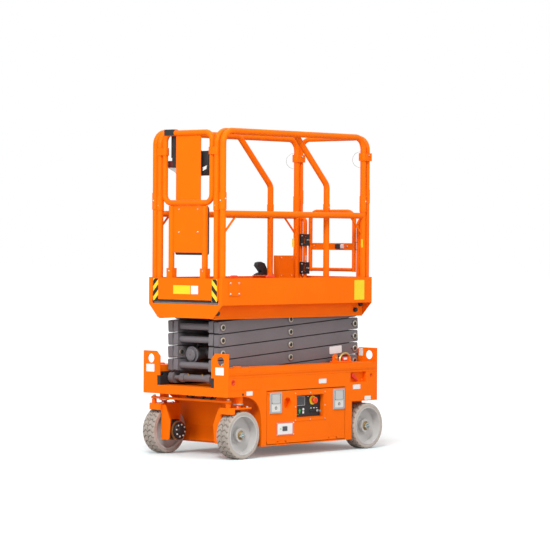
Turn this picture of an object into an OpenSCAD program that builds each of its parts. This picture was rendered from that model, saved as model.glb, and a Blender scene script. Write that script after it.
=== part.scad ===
// Compact electric scissor lift, five scissor levels, with a sliding deck extension.
// X points forward, Y to the left, Z up, in millimetres; the wheels stand on Z = 0.

/* [Wheels] */
// tyre outside diameter
tyre_d = 305; // [298:1:310]
// tyre width
tyre_w = 100; // [94:1:102]
// rim outside diameter
rim_d = 255; // [246:1:262]
// front axle behind the front end of the base
front_overhang = 144; // [141:1:147]
// rear axle ahead of the rear end of the base
rear_overhang = 91; // [88:1:94]
// middle of each wheel from the centre line
half_track = 330; // [328:1:331]
// depth of the rim disc below the outer face
dish_depth = 62; // [54:1:66]
// stub axle radius
axle_r = 22; // [18:1:24]
// hub radius
hub_r = 44; // [38:1:50]

/* [Base] */
// front end of the base
base_front = 754; // [750:1:758]
// rear end of the base
base_rear = 701; // [699:1:706]
// half width over the side walls
base_half = 376; // [374:1:377]
// sheet thickness of the base
plate_t = 8; // [7:0.5:9]
// underside of the base
floor_z = 71; // [66:1:74]
// top of the base
top_z = 579; // [575:1:583]
// half width of the trough under the scissor stack
trough_half = 250; // [249:1:252]
// top of the trough floor
trough_z = 452; // [449:1:454]
// lower edge over the front wheels
front_low = 397; // [394:1:400]
// lower edge over the rear wheels
rear_low = 322; // [320:1:326]
// front end of the tub behind the front axle
tub_front_gap = 170; // [167:1:174]
// rear end of the tub ahead of the rear axle
tub_rear_gap = 166; // [164:1:168]
// top of the fold across the front of the tub
fold_top = 184; // [176:1:190]
// half width of the ladder at the rear
ladder_half = 178; // [160:1:185]
// bottom of the ladder
ladder_low = 170; // [160:1:180]
// top of the ladder
ladder_high = 560; // [550:1:568]
// step between the ladder rungs
rung_step = 150; // [140:1:160]
// top of the battery block
battery_top = 330; // [250:5:380]
// top of the pump block
pump_top = 300; // [250:5:380]
// inner face of the rear axle plates
axle_plate_in = 246; // [244:1:248]
// bottom of the rear axle plates
axle_plate_low = 108; // [100:1:112]
// height of the folded lip along the top of the sides
lip_h = 44; // [30:1:50]
// top of the lifting lugs
lug_top = 671; // [664:1:678]
// inner edge of the front lugs
lug_in = 230; // [228:1:234]
// inner edge of the rear lugs
rear_lug_in = 190; // [188:1:196]
// middle of the lug holes from the centre line
lug_hole_y = 311; // [306:1:316]
// radius of the hole in each lug
lug_hole_r = 30; // [26:1:32]
// height of the openings for the slide tracks in the front plate
track_open = 62; // [58:1:66]

/* [Doors] */
// front edge of the side doors behind the front of the tub
door_front_inset = 52; // [50:1:60]
// rear edge of the side doors ahead of the rear of the tub
door_rear_inset = 73; // [70:1:78]
// lower edge of the doors
door_low = 97; // [96:1:104]
// upper edge of the doors
door_top = 420; // [412:1:424]
// gap round the doors
door_gap = 5; // [4:0.5:6]
// width of the ground control panel
panel_w = 270; // [262:1:276]
// height of the ground control panel
panel_h = 152; // [146:1:156]
// lower edge of the ground control panel
panel_low = 236; // [230:1:242]
// hinge pin radius
hinge_r = 4; // [3:0.5:4]
// height of the hinge line
hinge_z = 88; // [88:0.5:89]

/* [Steering] */
// kingpin radius
king_r = 18; // [15:1:20]
// kingpin sleeve radius
sleeve_r = 30; // [27:1:31]
// top plate of the knuckle above the ground
knuckle_z = 318; // [316:1:320]
// lower edge of the hood in front of each steered wheel
hood_low = 288; // [286:1:292]
// tie rod above the top plate of the knuckle
rod_rise = 41; // [36:1:46]
// reach of the steering arm ahead of the kingpin
steer_arm = 92; // [90:1:96]
// drive motor radius
motor_r = 55; // [48:1:60]

/* [Scissor] */
// arm length between end pins
arm_len = 1290; // [1286:1:1294]
// rear pin line behind the middle of the machine
pin_back = 640; // [636:1:642]
// height of the lowest pins
row_z = 500; // [499:0.5:502]
// height of one level when lowered
row_pitch = 83; // [82.5:0.5:84]
// arm tube height
arm_h = 76; // [70:1:77]
// arm tube width
arm_w = 40; // [36:1:41]
// reach of the arm ends past their pins
end_reach = 36; // [30:1:38]
// chamfer at the arm ends
end_chamfer = 6; // [3:1:10]
// middle of the outer arms
outer_y = 205; // [204:0.5:206]
// middle of the inner arms
inner_y = 157; // [156:0.5:158]
// pin radius
pin_r = 15; // [12:0.5:17]
// running gap at pins
run_gap = 0.05; // [0.02:0.01:0.1]
// cross tube radius
cross_r = 21; // [18:1:24]

/* [Lift cylinder] */
// barrel radius
barrel_r = 40; // [36:1:44]
// rod radius
rod_r = 25; // [20:1:28]
// place of the trunnion along the second inner arm
trunnion_at = 0.9; // [0.88:0.01:0.92]
// trunnion radius
trunnion_r = 18; // [15:1:20]
// barrel length ahead of the trunnion
barrel_head = 110; // [90:1:115]
// cylinder to the right of the centre line
cyl_y = 70; // [60:1:74]
// barrel length behind the trunnion
barrel_tail = 860; // [820:5:880]

/* [Platform] */
// front of the platform
plat_front = 760; // [757:1:762]
// rear of the platform
plat_rear = 700; // [699:1:702]
// half width of the platform
plat_half = 326; // [325:1:329]
// lower edge of the toe-boards
toe_low = 975; // [974:1:978]
// bottom of the sloping plates under the platform ends
end_low = 890; // [884:1:896]
// upper edge of the toe-boards
toe_top = 1147; // [1140:1:1154]
// lower edge of the platform frame
frame_low = 884; // [882:0.5:884]
// top of the main deck
deck_top = 1000; // [999:0.5:1001]
// half width of the platform frame
frame_half = 250; // [249:1:252]

/* [Rails] */
// rail tube radius
tube_r = 20; // [18:0.5:21]
// bend radius of the rails
bend_r = 80; // [70:1:90]
// middle of the main side rails
rail_y = 299; // [298:0.5:300]
// front legs of the main rails
rail_front = 729; // [727:1:730]
// rear legs of the main rails
rail_rear = 635; // [632:1:636]
// middle of the top rail
rail_top = 2080; // [2070:1:2090]
// middle of the mid rail
rail_mid = 1556; // [1546:1:1566]
// rear rail legs
back_x = 677.5; // [677:0.25:677.5]
// wire radius of the lock pin loops
wire_r = 1; // [0.8:0.1:1.5]
// bow of the lock pin loops
wire_bow = 52; // [40:1:60]
// height of the braces under the mid rails
gusset_h = 134; // [120:1:138]
// sleeve radius on the legs
leg_sleeve_r = 23.5; // [22.5:0.5:24]
// top of the outlet box, as a share of the way from the deck to the mid rail
outlet_share = 0.5125; // [0.45:0.0125:0.55]

/* [Gate] */
// gate tube radius
gate_r = 14; // [12:0.5:15]
// gate hinge line, to the right of the centre line
gate_hinge = 231; // [229:1:232]
// radius of the posts beside the gate
post_r = 14; // [12:0.5:15]
// middle of the hinge post, to the right of the centre line
hinge_post_y = 256; // [254:1:257]
// free edge of the gate
gate_free = 200; // [196:1:206]
// top of the gate
gate_top = 1600; // [1590:1:1606]
// foot of the gate
gate_foot = 1178; // [1172:1:1184]

/* [Extension] */
// middle of the extension side rails
ext_y = 252; // [251:0.5:253]
// front legs of the extension rails
ext_front = 734; // [733:0.5:735]
// rear end of the extension deck
ext_back = 400; // [396:1:404]
// half width of the front panel
panel_half = 290; // [286:1:292]
// half width of the front loop
loop_y = 209; // [206:0.5:211]
// loop tube radius
loop_r = 18; // [15:0.5:19]
// middle of the lower bar of the loop
loop_low = 1625; // [1615:1:1635]
// middle of the upper bar of the loop
loop_top = 2072; // [2062:1:2080]
// middle of the front posts
post_y = 149; // [145:1:152]
// width of the control box
control_w = 316; // [306:1:320]
// depth of the control box
control_d = 72; // [66:1:78]
// height of the control box
control_h = 155; // [148:1:160]
// width of the document box
document_w = 236; // [226:1:240]
// depth of the document box
document_d = 66; // [60:1:70]
// height of the document box
document_h = 307; // [295:1:310]

/* [Hidden] */
$fn = 48;
seam = 0.25;
wheel_r = tyre_d / 2;
axle_x = base_front - front_overhang;
rear_x = base_rear - rear_overhang;
tub_front = axle_x - tub_front_gap;
tub_rear = rear_x - tub_rear_gap;
door_front = tub_front - door_front_inset;
door_rear = tub_rear - door_rear_inset;
hinge_xs = [121 - door_rear, door_front - 138];
panel_x = 211 - door_rear;
rest_angle = asin(row_pitch / arm_len);
pin_front = arm_len * cos(rest_angle) - pin_back;
arm_in = inner_y - arm_w / 2;
arm_out = outer_y + arm_w / 2;
trun_x = trunnion_at * arm_len * cos(rest_angle) - pin_back;
trun_z = row_z + (1 + trunnion_at) * row_pitch;
eye_x = -pin_back;
eye_z = row_z + 3 * row_pitch;
cyl_len = norm([trun_x - eye_x, eye_z - trun_z]);
cyl_angle = atan2(eye_z - trun_z, trun_x - eye_x);
in_half = base_half - plate_t;
pocket_x = 114 - base_rear;
pocket_z = top_z - 129;
track_in = arm_out + 5;
block_h = 50;
gate_hinges = [1200, 1392];
pin_x = 18 - back_x;
orange = [0.95, 0.38, 0.08];
grey = [0.42, 0.43, 0.46];
pale = [0.78, 0.78, 0.76];
dark = [0.1, 0.1, 0.11];
steel = [0.62, 0.62, 0.64];

// Shared shapes

// box from corner to corner
module span(a, b) {
  translate(a) cube(b - a);
}

// round bar along X from x0 to x1
module bar_x(x0, x1, y, z, r) {
  translate([x0, y, z]) rotate([0, 90, 0]) cylinder(r = r, h = x1 - x0);
}

// round bar along Y from y0 to y1
module bar_y(x, y0, y1, z, r) {
  translate([x, y0, z]) rotate([-90, 0, 0]) cylinder(r = r, h = y1 - y0);
}

// round bar along Z from z0 to z1
module bar_z(x, y, z0, z1, r) {
  translate([x, y, z0]) cylinder(r = r, h = z1 - z0);
}

// the same shape on both sides
module both() {
  children();
  mirror([0, 1, 0]) children();
}

// quarter bend in the XZ plane, about a centre point, from start angle
module bend_xz(x, y, z, rb, r, start, sweep) {
  translate([x, y, z]) rotate([90, 0, 0]) rotate([0, 0, start])
    rotate_extrude(angle = sweep) translate([rb, 0]) circle(r = r);
}

// quarter bend in the YZ plane
module bend_yz(x, y, z, rb, r, start, sweep) {
  translate([x, y, z]) rotate([90, 0, 90]) rotate([0, 0, start])
    rotate_extrude(angle = sweep) translate([rb, 0]) circle(r = r);
}

// Base

module base_tub() {
  color(orange) {
    span([-tub_rear, -in_half + seam, floor_z], [tub_front, in_half - seam, floor_z + plate_t]);
    span([tub_front - plate_t, -in_half + seam, floor_z + plate_t],
      [tub_front, in_half - seam, trough_z - plate_t]);
    span([-tub_rear, -in_half + seam, floor_z + plate_t],
      [plate_t - tub_rear, in_half - seam, trough_z - plate_t]);
    both() hinge_lugs();
    translate([0, trough_half, 0]) rotate([90, 0, 0]) linear_extrude(2 * trough_half)
      polygon([[tub_front - 1, fold_top], [tub_front + 24, floor_z + 19], [tub_front + 24, floor_z + 11],
        [tub_front - 1, floor_z + 3]]);
  }
}

module hinge_lugs() {
  for (x = hinge_xs) {
    for (s = [-1, 1]) {
      translate([x + s * 38 - 4, base_half - 14, floor_z + plate_t]) cube([8, 13, 14]);
    }
    bar_x(x - 40, x + 40, base_half - 4, hinge_z, hinge_r);
  }
}

module base_trough() {
  color(orange) {
    span([plate_t - base_rear, -trough_half - plate_t, trough_z - plate_t],
      [base_front - plate_t, trough_half + plate_t, trough_z]);
    both() span([plate_t - base_rear, trough_half, trough_z],
      [base_front - plate_t, trough_half + plate_t, top_z - plate_t]);
    both() pivot_bracket();
  }
}

module pivot_bracket() {
  span([-pin_back - 36, outer_y - 14, trough_z], [36 - pin_back, outer_y + 14, row_z]);
  bar_y(-pin_back, outer_y - 14, outer_y + 14, row_z, 34);
  bar_y(-pin_back, arm_in + 1, outer_y + 14, row_z, pin_r);
}

module side_profile() {
  difference() {
    polygon([
      [plate_t - base_rear, top_z - plate_t],
      [base_front - plate_t, top_z - plate_t],
      [base_front - plate_t, front_low],
      [axle_x - 10, front_low],
      [axle_x - 50, front_low - 6],
      [axle_x - 85, front_low - 19],
      [axle_x - 115, front_low - 38],
      [axle_x - 140, front_low - 66],
      [axle_x - 157, front_low - 104],
      [tub_front + 4, front_low - 150],
      [tub_front, front_low - 190],
      [tub_front, floor_z],
      [-tub_rear, floor_z],
      [-tub_rear, rear_low],
      [plate_t - base_rear, rear_low]]);
    translate([-rear_x, wheel_r]) circle(r = wheel_r + 16);
    translate([base_front - 48, top_z - 89]) circle(r = 12.5);
    translate([59 - base_rear, top_z - 89]) circle(r = 12.5);
    translate([-door_rear - door_gap, floor_z + plate_t])
      square([door_rear + door_front + 2 * door_gap, door_top + door_gap - floor_z - plate_t]);
  }
}

module base_side() {
  translate([0, base_half, 0]) rotate([90, 0, 0]) linear_extrude(plate_t) side_profile();
  span([plate_t - base_rear, trough_half, top_z - plate_t + seam],
    [base_front - plate_t, base_half, top_z]);
  span([plate_t - base_rear, base_half + seam, top_z - lip_h],
    [base_front - plate_t, base_half + 3.5, top_z]);
  span([tub_front + 2, trough_half + plate_t + seam, front_low],
    [axle_x - 70, in_half - seam, front_low + plate_t]);
  span([axle_x + 70, trough_half + plate_t + seam, front_low],
    [base_front - plate_t, in_half - seam, front_low + plate_t]);
  span([plate_t - base_rear, trough_half + plate_t + seam, rear_low],
    [-tub_rear - seam, in_half - seam, rear_low + plate_t]);
}

module base_side_left() {
  color(orange) {
    difference() {
      base_side();
      span([pocket_x, base_half - 30, pocket_z], [pocket_x + 158, base_half + 2, pocket_z + 68]);
    }
    difference() {
      span([pocket_x - 4, in_half - 26, pocket_z - 4], [pocket_x + 162, in_half - seam, pocket_z + 72]);
      span([pocket_x, in_half - 22, pocket_z], [pocket_x + 158, base_half, pocket_z + 68]);
    }
  }
}

module base_side_right() {
  color(orange) mirror([0, 1, 0]) base_side();
}

// end plate with its lugs, seen along X
module end_profile(low, inner) {
  difference() {
    translate([-base_half - 2, low]) square([2 * base_half + 4, lug_top - low]);
    translate([-inner, trough_z]) square([2 * inner, 300]);
    both_flat() translate([lug_hole_y, lug_top - 48]) circle(r = lug_hole_r);
    both_flat()
      polygon([[inner - 1, lug_top + 1], [inner + 33, lug_top + 1], [inner - 1, lug_top - 33]]);
    children();
  }
}

module both_flat() {
  children();
  mirror([1, 0]) children();
}

module front_plate() {
  color(orange) translate([base_front - plate_t, 0, 0]) rotate([90, 0, 90])
    linear_extrude(plate_t) end_profile(front_low, lug_in)
      translate([-trough_half - 4, trough_z]) square([2 * trough_half + 8, track_open]);
}

module rear_plate() {
  color(orange) translate([-base_rear, 0, 0]) rotate([90, 0, 90])
    linear_extrude(plate_t) end_profile(rear_low, rear_lug_in);
}

module kingpin_beam() {
  color(orange) {
    difference() {
      union() {
        span([axle_x - 70 + seam, -in_half + seam, front_low],
          [axle_x + 70 - seam, in_half - seam, trough_z - plate_t]);
        both() bar_z(axle_x, half_track, knuckle_z + 26, front_low + 5, sleeve_r);
      }
      both() bar_z(axle_x, half_track, 0, front_low + 30, king_r + run_gap);
    }
  }
}

module rear_axle() {
  color(orange) {
    both() span([-rear_x - 76, axle_plate_in, axle_plate_low],
      [-tub_rear - seam, axle_plate_in + 11, rear_low + 60]);
    both() bar_y(-rear_x, axle_plate_in + 10, half_track + 12, wheel_r, axle_r);
    bar_y(-rear_x, -axle_plate_in - 1, axle_plate_in + 1, wheel_r, axle_r + 10);
  }
}

module slide_tracks() {
  stop_x = base_front - plate_t - 20;
  color(dark) both() {
    span([90, track_in, trough_z], [stop_x - seam, trough_half - seam, row_z - block_h / 2 - 1]);
    span([90, track_in, row_z + block_h / 2 + 1],
      [stop_x + 19, trough_half - seam, row_z + block_h / 2 + 13]);
    span([stop_x, track_in - 4, trough_z + seam], [base_front - 1, trough_half - seam,
      trough_z + track_open - 1]);
  }
}

module power_pack() {
  color(dark) {
    span([94 - tub_rear, -300, floor_z + plate_t], [504 - tub_rear, 60, battery_top]);
    span([tub_front - 330, -220, floor_z + plate_t], [tub_front - 40, trough_half, pump_top]);
  }
}

module entry_ladder() {
  color(orange) {
    both() span([-base_rear - 50, ladder_half - 8, ladder_low], [-base_rear, ladder_half, ladder_high]);
    for (i = [0:2]) {
      z = ladder_low + 20 + i * rung_step;
      span([-base_rear - 50, 7 - ladder_half, z], [-base_rear - 8, ladder_half - 7, z + 26]);
    }
  }
}

// Side doors, hinged at the lower edge

module door_panel() {
  difference() {
    span([-door_rear, base_half - plate_t, door_low], [door_front, base_half, door_top]);
    children();
  }
  for (x = hinge_xs) {
    difference() {
      union() {
        bar_x(x - 30, x + 30, base_half - 4, hinge_z, hinge_r + 3);
        span([x - 30, base_half - 7, hinge_z], [x + 30, base_half - 1, door_low + 1]);
      }
      bar_x(x - 40, x + 40, base_half - 4, hinge_z, hinge_r + run_gap);
    }
  }
  door_skirt(-door_rear, hinge_xs[0] - 45);
  door_skirt(hinge_xs[0] + 45, hinge_xs[1] - 45);
  door_skirt(hinge_xs[1] + 45, door_front);
}

module door_skirt(x0, x1) {
  span([x0, base_half - 1, door_low - 14], [x1, base_half + 2, door_low + 15]);
}

module door_left() {
  color(orange) door_panel() {
    span([panel_x, 300, panel_low], [panel_x + panel_w, 500, panel_low + panel_h]);
    bar_y(door_front - 194, 300, 500, 342, 35);
  }
}

module door_right() {
  color(orange) mirror([0, 1, 0]) door_panel() {
    bar_y(177 - door_rear, 300, 500, 342, 35);
  }
}

module ground_controls() {
  color(dark) {
    x0 = panel_x + seam;
    x1 = panel_x + panel_w - seam;
    z0 = panel_low + seam;
    z1 = panel_low + panel_h - seam;
    span([x0, base_half - 60, z0], [x1, base_half - 28, z1]);
    for (z = [z0, z1 - 4]) {
      span([x0, base_half - 29, z], [x1, base_half + 3, z + 4]);
    }
    for (x = [x0, x1 - 4]) {
      span([x, base_half - 29, z0], [x + 4, base_half + 3, z1]);
    }
    bar_y(panel_x + 84, base_half - 29, base_half - 10, panel_low + 111, 10);
    bar_y(panel_x + 84, base_half - 11, base_half + 5, panel_low + 111, 20);
  }
}

module latch_pair() {
  span([door_front - 134, base_half + seam, door_top - 142],
    [door_front - 22, base_half + 5, door_top - 8]);
  span([7 - door_rear, base_half + seam, door_top - 142], [119 - door_rear, base_half + 5, door_top - 8]);
}

module latches_left() {
  color(pale) latch_pair();
}

module latches_right() {
  color(pale) mirror([0, 1, 0]) latch_pair();
}

// Steering

module knuckle() {
  plate_in = half_track - tyre_w / 2 - 18;
  translate([axle_x, 0, knuckle_z]) linear_extrude(10)
    polygon([[-82, plate_in], [100, plate_in], [116, plate_in + 16], [116, half_track + 20],
      [84, base_half + 6], [-70, base_half + 6], [-82, base_half - 10]]);
  translate([axle_x, 0, hood_low]) linear_extrude(knuckle_z + 2 - hood_low)
    polygon([[100, plate_in], [116, plate_in + 16], [116, half_track + 20], [84, base_half + 6],
      [80, base_half + 1], [108, half_track + 17], [108, plate_in + 19], [95, plate_in + 6]]);
  translate([axle_x, plate_in + 10, 0]) rotate([90, 0, 0]) linear_extrude(10)
    polygon([[-82, knuckle_z + 5], [100, knuckle_z + 5], [84, 250], [84, 96], [-58, 96], [-82, 190]]);
  translate([axle_x + 76, 0, 0]) rotate([90, 0, 90]) linear_extrude(8)
    polygon([[plate_in + 2, knuckle_z + 2], [plate_in - 25, knuckle_z + 2], [plate_in - 70, 215],
      [plate_in - 60, 106], [plate_in - 50, 96], [plate_in + 2, 96]]);
  bar_z(axle_x, half_track, knuckle_z + 5, front_low + 20, king_r);
  bar_z(axle_x + steer_arm, half_track, knuckle_z + 5, knuckle_z + rod_rise - 3, 16);
  bar_z(axle_x + steer_arm, half_track, knuckle_z + 5, knuckle_z + rod_rise + 19, 10);
  bar_y(axle_x, plate_in + 5, half_track + 12, wheel_r, axle_r);
}

module knuckle_left() {
  color(orange) knuckle();
}

module knuckle_right() {
  color(orange) mirror([0, 1, 0]) knuckle();
}

module drive_motor() {
  plate_in = half_track - tyre_w / 2 - 18;
  bar_y(axle_x, plate_in - 14, plate_in - seam, wheel_r, motor_r + 8);
  bar_y(axle_x, plate_in - 76, plate_in - 13, wheel_r, motor_r);
}

module drive_motor_left() {
  color(dark) drive_motor();
}

module drive_motor_right() {
  color(dark) mirror([0, 1, 0]) drive_motor();
}

module tie_rod() {
  x = axle_x + steer_arm;
  z = knuckle_z + rod_rise;
  color(orange) difference() {
    union() {
      span([x - 12, -half_track, z], [x + 12, half_track, z + 14]);
      both() bar_z(x, half_track, z, z + 14, 20);
    }
    both() bar_z(x, half_track, z - 10, z + 30, 10 + run_gap);
  }
}

// Wheels, turned about their own axle with the outer face outward

module rim() {
  disc = tyre_w / 2 - dish_depth;
  rotate([-90, 0, 0]) rotate_extrude($fn = 96) {
    polygon([
      [axle_r + run_gap, disc - 22],
      [hub_r + 6, disc - 22],
      [hub_r + 6, disc - 12],
      [rim_d / 2 - 12, disc - 12],
      [rim_d / 2 - 12, -tyre_w / 2 + 4],
      [rim_d / 2 - seam, -tyre_w / 2 + 2],
      [rim_d / 2 - seam, tyre_w / 2 - 3],
      [rim_d / 2 - 9, tyre_w / 2 - 3],
      [rim_d / 2 - 12, disc + 6],
      [hub_r + 14, disc],
      [hub_r, disc + 10],
      [hub_r, disc + 34],
      [hub_r - 6, disc + 38],
      [20, disc + 38],
      [20, disc + 54],
      [0, disc + 54],
      [0, disc + 26],
      [axle_r + run_gap, disc + 26]]);
  }
}

module tyre() {
  w = tyre_w / 2;
  rotate([-90, 0, 0]) rotate_extrude($fn = 96)
    polygon([
      [rim_d / 2, -w + 1],
      [rim_d / 2 + 6, -w],
      [wheel_r - 10, -w],
      [wheel_r - 3, -w + 4],
      [wheel_r, -w + 12],
      [wheel_r, w - 12],
      [wheel_r - 3, w - 4],
      [wheel_r - 10, w],
      [rim_d / 2 + 6, w],
      [rim_d / 2, w - 1]]);
}

module at_wheel(x, s) {
  if (s > 0) {
    translate([x, half_track, wheel_r]) children();
  } else {
    mirror([0, 1, 0]) translate([x, half_track, wheel_r]) children();
  }
}

module rim_front_left() {
  color(pale) at_wheel(axle_x, 1) rim();
}

module rim_front_right() {
  color(pale) at_wheel(axle_x, -1) rim();
}

module rim_rear_left() {
  color(pale) at_wheel(-rear_x, 1) rim();
}

module rim_rear_right() {
  color(pale) at_wheel(-rear_x, -1) rim();
}

module tyre_front_left() {
  color(pale) at_wheel(axle_x, 1) tyre();
}

module tyre_front_right() {
  color(pale) at_wheel(axle_x, -1) tyre();
}

module tyre_rear_left() {
  color(pale) at_wheel(-rear_x, 1) tyre();
}

module tyre_rear_right() {
  color(pale) at_wheel(-rear_x, -1) tyre();
}

// Scissor arms

// one arm along +X or -X from its low pin, with its three bores;
// an end is square with small chamfers, or round where it turns close to the base or the platform
module arm(y, dir, low_round = 0, high_round = 0) {
  h = arm_h / 2;
  c = end_chamfer;
  a = low_round ? 0 : -end_reach;
  b = high_round ? arm_len : arm_len + end_reach;
  ca = low_round ? 0 : c;
  cb = high_round ? 0 : c;
  difference() {
    union() {
      translate([0, y + arm_w / 2, 0]) rotate([90, 0, 0]) linear_extrude(arm_w)
        polygon([[dir * (a + ca), -h], [dir * (b - cb), -h], [dir * b, cb - h], [dir * b, h - cb],
          [dir * (b - cb), h], [dir * (a + ca), h], [dir * a, h - ca], [dir * a, ca - h]]);
      if (low_round) {
        bar_y(0, y - arm_w / 2, y + arm_w / 2, 0, h);
      }
      if (high_round) {
        bar_y(dir * arm_len, y - arm_w / 2, y + arm_w / 2, 0, h);
      }
    }
    for (t = [0, 0.5, 1]) {
      bar_y(dir * t * arm_len, y - arm_w, y + arm_w, 0, pin_r + run_gap);
    }
    children();
  }
}

// headed pin through an outer and an inner arm
module headed_pin(x) {
  bar_y(x, arm_in + 2, arm_out + 2, 0, pin_r);
  bar_y(x, arm_out + seam, arm_out + 5, 0, pin_r + 8);
}

module place_inner(k) {
  translate([-pin_back, 0, row_z + (k - 1) * row_pitch]) rotate([0, -rest_angle, 0]) children();
}

module place_outer(k) {
  translate([pin_front, 0, row_z + (k - 1) * row_pitch]) rotate([0, rest_angle, 0]) children();
}

module inner_pair(low_round = 0, high_round = 0) {
  both() arm(inner_y, 1, low_round, high_round);
}

module cross_tube(x) {
  bar_y(x, -arm_in + seam, arm_in - seam, 0, cross_r);
}

module inner_arms_1() {
  color(grey) place_inner(1) {
    inner_pair(1, 0);
    cross_tube(0);
    cross_tube(arm_len);
  }
}

module inner_arms_2() {
  color(grey) place_inner(2) {
    both() arm(inner_y, 1)
      bar_y(trunnion_at * arm_len, arm_in - 1, inner_y + arm_w, 0, trunnion_r + run_gap);
    cross_tube(0);
  }
}

module inner_arms_3() {
  color(grey) place_inner(3) {
    inner_pair();
    cross_tube(0);
    cross_tube(arm_len);
  }
}

module inner_arms_4() {
  color(grey) place_inner(4) {
    inner_pair();
    bar_y(0, 34 - cyl_y, arm_in - seam, 0, cross_r);
    bar_y(0, 34 - cyl_y, 48 - cyl_y, 0, 42);
    bar_y(0, seam - arm_in, -34 - cyl_y, 0, cross_r);
    bar_y(0, -48 - cyl_y, -34 - cyl_y, 0, 42);
    cross_tube(arm_len);
  }
}

module inner_arms_5() {
  color(grey) place_inner(5) {
    inner_pair(0, 1);
    cross_tube(0);
    bar_y(arm_len, 12.5 - frame_half, frame_half - 12.5, 0, pin_r);
  }
}

module outer_arms(k) {
  both() arm(outer_y, -1, k == 1 ? 1 : 0, k == 5 ? 1 : 0);
  if (k > 1) {
    both() headed_pin(0);
  }
  both() headed_pin(-arm_len / 2);
  both() headed_pin(-arm_len);
}

module outer_arms_1() {
  color(grey) place_outer(1) {
    outer_arms(1);
    bar_y(0, -trough_half + 4, trough_half - 4, 0, pin_r);
    bar_y(0, -arm_in, arm_in, 0, cross_r + 2);
    both() collar(arm_in - 40, arm_in - 1, cross_r + 9);
  }
}

// eight-sided collar on the bottom bar
module collar(y0, y1, r) {
  translate([0, y1, 0]) rotate([90, 0, 0]) linear_extrude(y1 - y0)
    polygon([for (i = [0:7]) r * [cos(45 * i + 22.5), sin(45 * i + 22.5)]]);
}

module outer_arms_2() {
  color(grey) place_outer(2) outer_arms(2);
}

module outer_arms_3() {
  color(grey) place_outer(3) outer_arms(3);
}

module outer_arms_4() {
  color(grey) place_outer(4) outer_arms(4);
}

module outer_arms_5() {
  color(grey) place_outer(5) outer_arms(5);
}

module slide_block(z) {
  difference() {
    span([pin_front - 30, track_in + 1, z - block_h / 2],
      [pin_front + 30, trough_half - 2, z + block_h / 2]);
    bar_y(pin_front, 200, 300, z, pin_r + run_gap);
  }
}

module slide_blocks_low() {
  color(dark) both() slide_block(row_z);
}

module slide_block_top() {
  z = row_z + 5 * row_pitch;
  difference() {
    span([pin_front - 30, track_in - 5, z - block_h / 2],
      [pin_front + 30, frame_half - 13, z + block_h / 2]);
    bar_y(pin_front, 200, 300, z, pin_r + run_gap);
  }
}

module slide_blocks_top() {
  color(dark) both() slide_block_top();
}

// Lift cylinder

module place_cylinder() {
  translate([trun_x, -cyl_y, trun_z]) rotate([0, cyl_angle, 0]) children();
}

module lift_barrel() {
  color(grey) place_cylinder() difference() {
    union() {
      bar_x(-barrel_tail, barrel_head, 0, 0, barrel_r);
      bar_x(-barrel_tail - 6, -barrel_tail + 40, 0, 0, barrel_r + 6);
      bar_y(0, cyl_y - inner_y - 14, cyl_y + inner_y + 14, 0, trunnion_r);
    }
    bar_x(-barrel_tail - 10, -420, 0, 0, rod_r + run_gap);
  }
}

module lift_rod() {
  color(steel) place_cylinder() {
    bar_x(-cyl_len, -430, 0, 0, rod_r);
    bar_y(-cyl_len, -25, 25, 0, 38);
    bar_y(-cyl_len, -29, 29, 0, 18);
  }
}

// Platform

module platform_frame() {
  top_row = row_z + 5 * row_pitch;
  color(orange) {
    both() span([plate_t - plat_rear, frame_half - 10, frame_low],
      [plat_front - 14, frame_half, toe_low]);
    web = frame_half - 10 - seam;
    both() span([60, track_in + 1, frame_low],
      [plat_front - 14, web, top_row - block_h / 2 - 1]);
    both() span([60, track_in + 1, top_row + block_h / 2 + 1],
      [plat_front - 14, web, top_row + block_h / 2 + 7]);
    for (x = [-500, 0, 500]) {
      span([x - 30, -web, toe_low - 12], [x + 30, web, toe_low]);
    }
    span([-pin_back - 40, -web, toe_low - 12], [40 - pin_back, web, toe_low]);
    both() top_bracket(top_row);
  }
}

module top_bracket(z) {
  difference() {
    union() {
      span([-pin_back - 34, inner_y - 15, z], [34 - pin_back, inner_y + 15, toe_low - 12 - seam]);
      bar_y(-pin_back, inner_y - 15, inner_y + 15, z, 34);
    }
    bar_y(-pin_back, inner_y - 30, inner_y + 30, z, pin_r + run_gap);
  }
}

module platform_deck() {
  color(grey) span([plate_t - plat_rear, -plat_half + 4, toe_low + 4],
    [plat_front - 12, plat_half - 4, deck_top]);
}

module end_trapezoid(x) {
  translate([x, 0, 0]) rotate([90, 0, 90]) linear_extrude(6)
    polygon([[-plat_half, toe_low + 4], [plat_half, toe_low + 4], [plat_half, toe_low],
      [frame_half - 4, end_low], [4 - frame_half, end_low], [-plat_half, toe_low]]);
}

module toe_boards() {
  color(orange) {
    both() span([-plat_rear, plat_half - 4, toe_low], [plat_front, plat_half, toe_top]);
    both() span([plate_t - plat_rear, frame_half + seam, toe_low],
      [plat_front - 12, plat_half - 1, toe_low + 4]);
    span([-plat_rear, -plat_half, toe_low], [6 - plat_rear, plat_half, toe_top]);
    both() span([plat_front - 6, panel_half + 5, toe_low], [plat_front, plat_half, toe_top]);
    end_trapezoid(-plat_rear);
    end_trapezoid(plat_front - 6);
  }
}

// Guard rails, built from straight tubes and bends that meet at fine seams

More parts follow.
